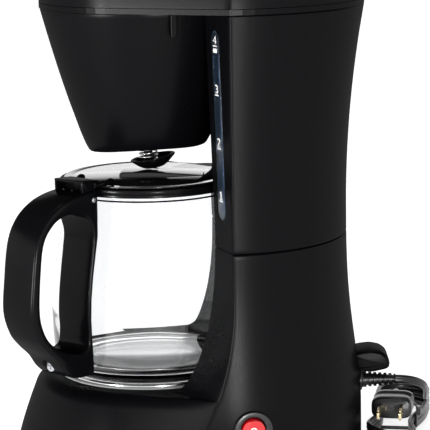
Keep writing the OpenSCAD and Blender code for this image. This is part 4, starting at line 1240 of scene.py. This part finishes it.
def make_rocker():
    """Rocker: two hollowed faces meeting in the middle, with softened ends."""
    bm = bmesh.new()
    r, half, reach = 6.6, 5.0, 11.7
    rings = []
    for z in span(-11.35, 11.35, 40):
        over = max(abs(z) - half, 0)
        y = sqrt(max(r * r - over * over, 0.4))
        front = min(2.6, PIVOT_X + sqrt(max(reach ** 2 - z * z, 0)))
        front = min(front, DISH_AT - sqrt(DISH_R ** 2 - (abs(z) - DISH_Z) ** 2))
        back = max(-9, PIVOT_X - sqrt(max(reach ** 2 - z * z, 0)))
        front = max(front, back + 0.6)
        e = min(0.7, y * 0.4)
        rings.append([at_rocker(x, w, z) for x, w in
                      ((back, -y), (front - e, -y), (front - 0.2 * e, -y + 0.3 * e), (front, -y + e),
                       (front, 0), (front, y - e), (front - 0.2 * e, y - 0.3 * e), (front - e, y),
                       (back, y), (back, 0))])
    add_rings(bm, rings)
    bar(circle(1.2, 24), lambda x, z, w: at_rocker(PIVOT_X + x, w, z), -8.5, 8.5)(bm)
    return finish_piece("rocker_key", bm, "rocker", ROCKER_RED, "rocker_red", "switch_rocker", sharp=40)


def make_rocker_marks():
    """Printed ring and bar on the rocker, following its hollow faces."""
    bm = bmesh.new()

    def on_skin(h, y, z):
        return at_rocker(DISH_AT - sqrt(DISH_R ** 2 - (abs(z) - DISH_Z) ** 2) + 0.05 + h, y, z)
    ring = [(x, 5.4 + y) for x, y in circle(1.55, 32)]
    for line in (ring + ring[:1], [(0, -7.2), (0, -6), (0, -4.8), (0, -3.4)]):
        add_stroke(bm, line, 0.7, 0.1, on_skin)
    return finish_piece("rocker_print", bm, "rocker", PRINT, "white_print", "switch_marks")


make_base()
make_column()
make_window()
make_marks()
make_bowl()
make_clips()
make_lid()
make_valve()
make_spring()
make_plate()
make_seal()
make_glass()
make_collar()
make_neck_ring()
make_handle()
make_carafe_lid()
make_lever()
make_lever_pin()
make_bezel()
make_rocker()
make_rocker_marks()

# ---- CAD nodes that keep their own mesh ----
CAD_FINISH = {
    "bottom_cover": INNER_BLACK, "rubber_feet": RUBBER, "base_screws": ZINC, "heating_element": CAST,
    "heater_bracket": STEEL, "bracket_screws": ZINC, "thermostat": STEEL, "thermal_fuse": CERAMIC,
    "check_valve": WHITE_PLASTIC, "cold_hose": SILICONE, "hot_hose": SILICONE, "wiring": WIRE_RED,
    "switch_body": WHITE_PLASTIC, "tank_floor": INNER_BLACK, "floor_gasket": SILICONE, "riser_tube": MILKY,
    "filter_basket": INNER_BLACK, "mesh_filter": NYLON_MESH, "shower_spout": INNER_BLACK,
    "top_frame": SATIN_BLACK, "frame_screws": ZINC, "lid_pins": ZINC, "valve_seal": SILICONE,
    "handle_screw": ZINC,
}
for name, finish in CAD_FINISH.items():
    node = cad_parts[name]
    node.data.materials.clear()
    node.data.materials.append(finish)


# ---- floor and light ----
def add_floor():
    mat, tree, shader = new_material("floor_white")
    drift = noise(tree, 3, detail=2)
    two_tone(tree, shader, drift, "Fac", (0.93, 0.93, 0.93), (0.96, 0.96, 0.96))
    give(shader, {"Roughness": 0.5, "Emission Color": (1, 1, 1, 1), "Emission Strength": 0.72})
    mesh = bpy.data.meshes.new("floor")
    bm = bmesh.new()
    half = 6
    bm.faces.new([bm.verts.new((x * half, y * half, 0)) for x, y in ((-1, -1), (1, -1), (1, 1), (-1, 1))])
    bm.to_mesh(mesh)
    bm.free()
    mesh.materials.append(mat)
    in_scene("floor", mesh)


def add_light(name, at, aim, size, power, size_y=None):
    data = bpy.data.lights.new(name, "AREA")
    data.shape = "RECTANGLE"
    data.size = size
    data.size_y = size_y or size
    data.energy = power
    lamp = in_scene(name, data)
    lamp.location = at
    lamp.rotation_mode = "QUATERNION"
    lamp.rotation_quaternion = (Vector(aim) - Vector(at)).to_track_quat("-Z", "Y")


def add_world():
    """Studio surround, bright near the horizon and dark overhead."""
    world = bpy.data.worlds.new("studio")
    world.use_nodes = True
    tree = world.node_tree
    back = tree.nodes["Background"]
    back.inputs["Color"].default_value = (1, 1, 1, 1)
    coord = tree.nodes.new("ShaderNodeTexCoord")
    split = tree.nodes.new("ShaderNodeSeparateXYZ")
    link(tree, coord, "Generated", split, "Vector")
    height = ramp(tree, split, "Z", 1.5, 0.1, start=0.24, end=0.42)
    height.interpolation_type = "SMOOTHSTEP"
    link(tree, height, "Result", back, "Strength")
    bpy.context.scene.world = world


add_floor()
add_world()
add_light("key", (0.95, -1.0, 0.12), (0, -0.02, 0.2), 0.25, 11, size_y=0.12)
add_light("side", (1.5, 0.3, 0.1), (0, 0.06, 0.12), 0.25, 9, size_y=0.12)
add_light("top", (-0.3, 0.1, 1.4), (0, 0, 0.1), 0.9, 4)
scene = bpy.context.scene
scene.view_settings.view_transform = "Standard"
scene.view_settings.look = "None"
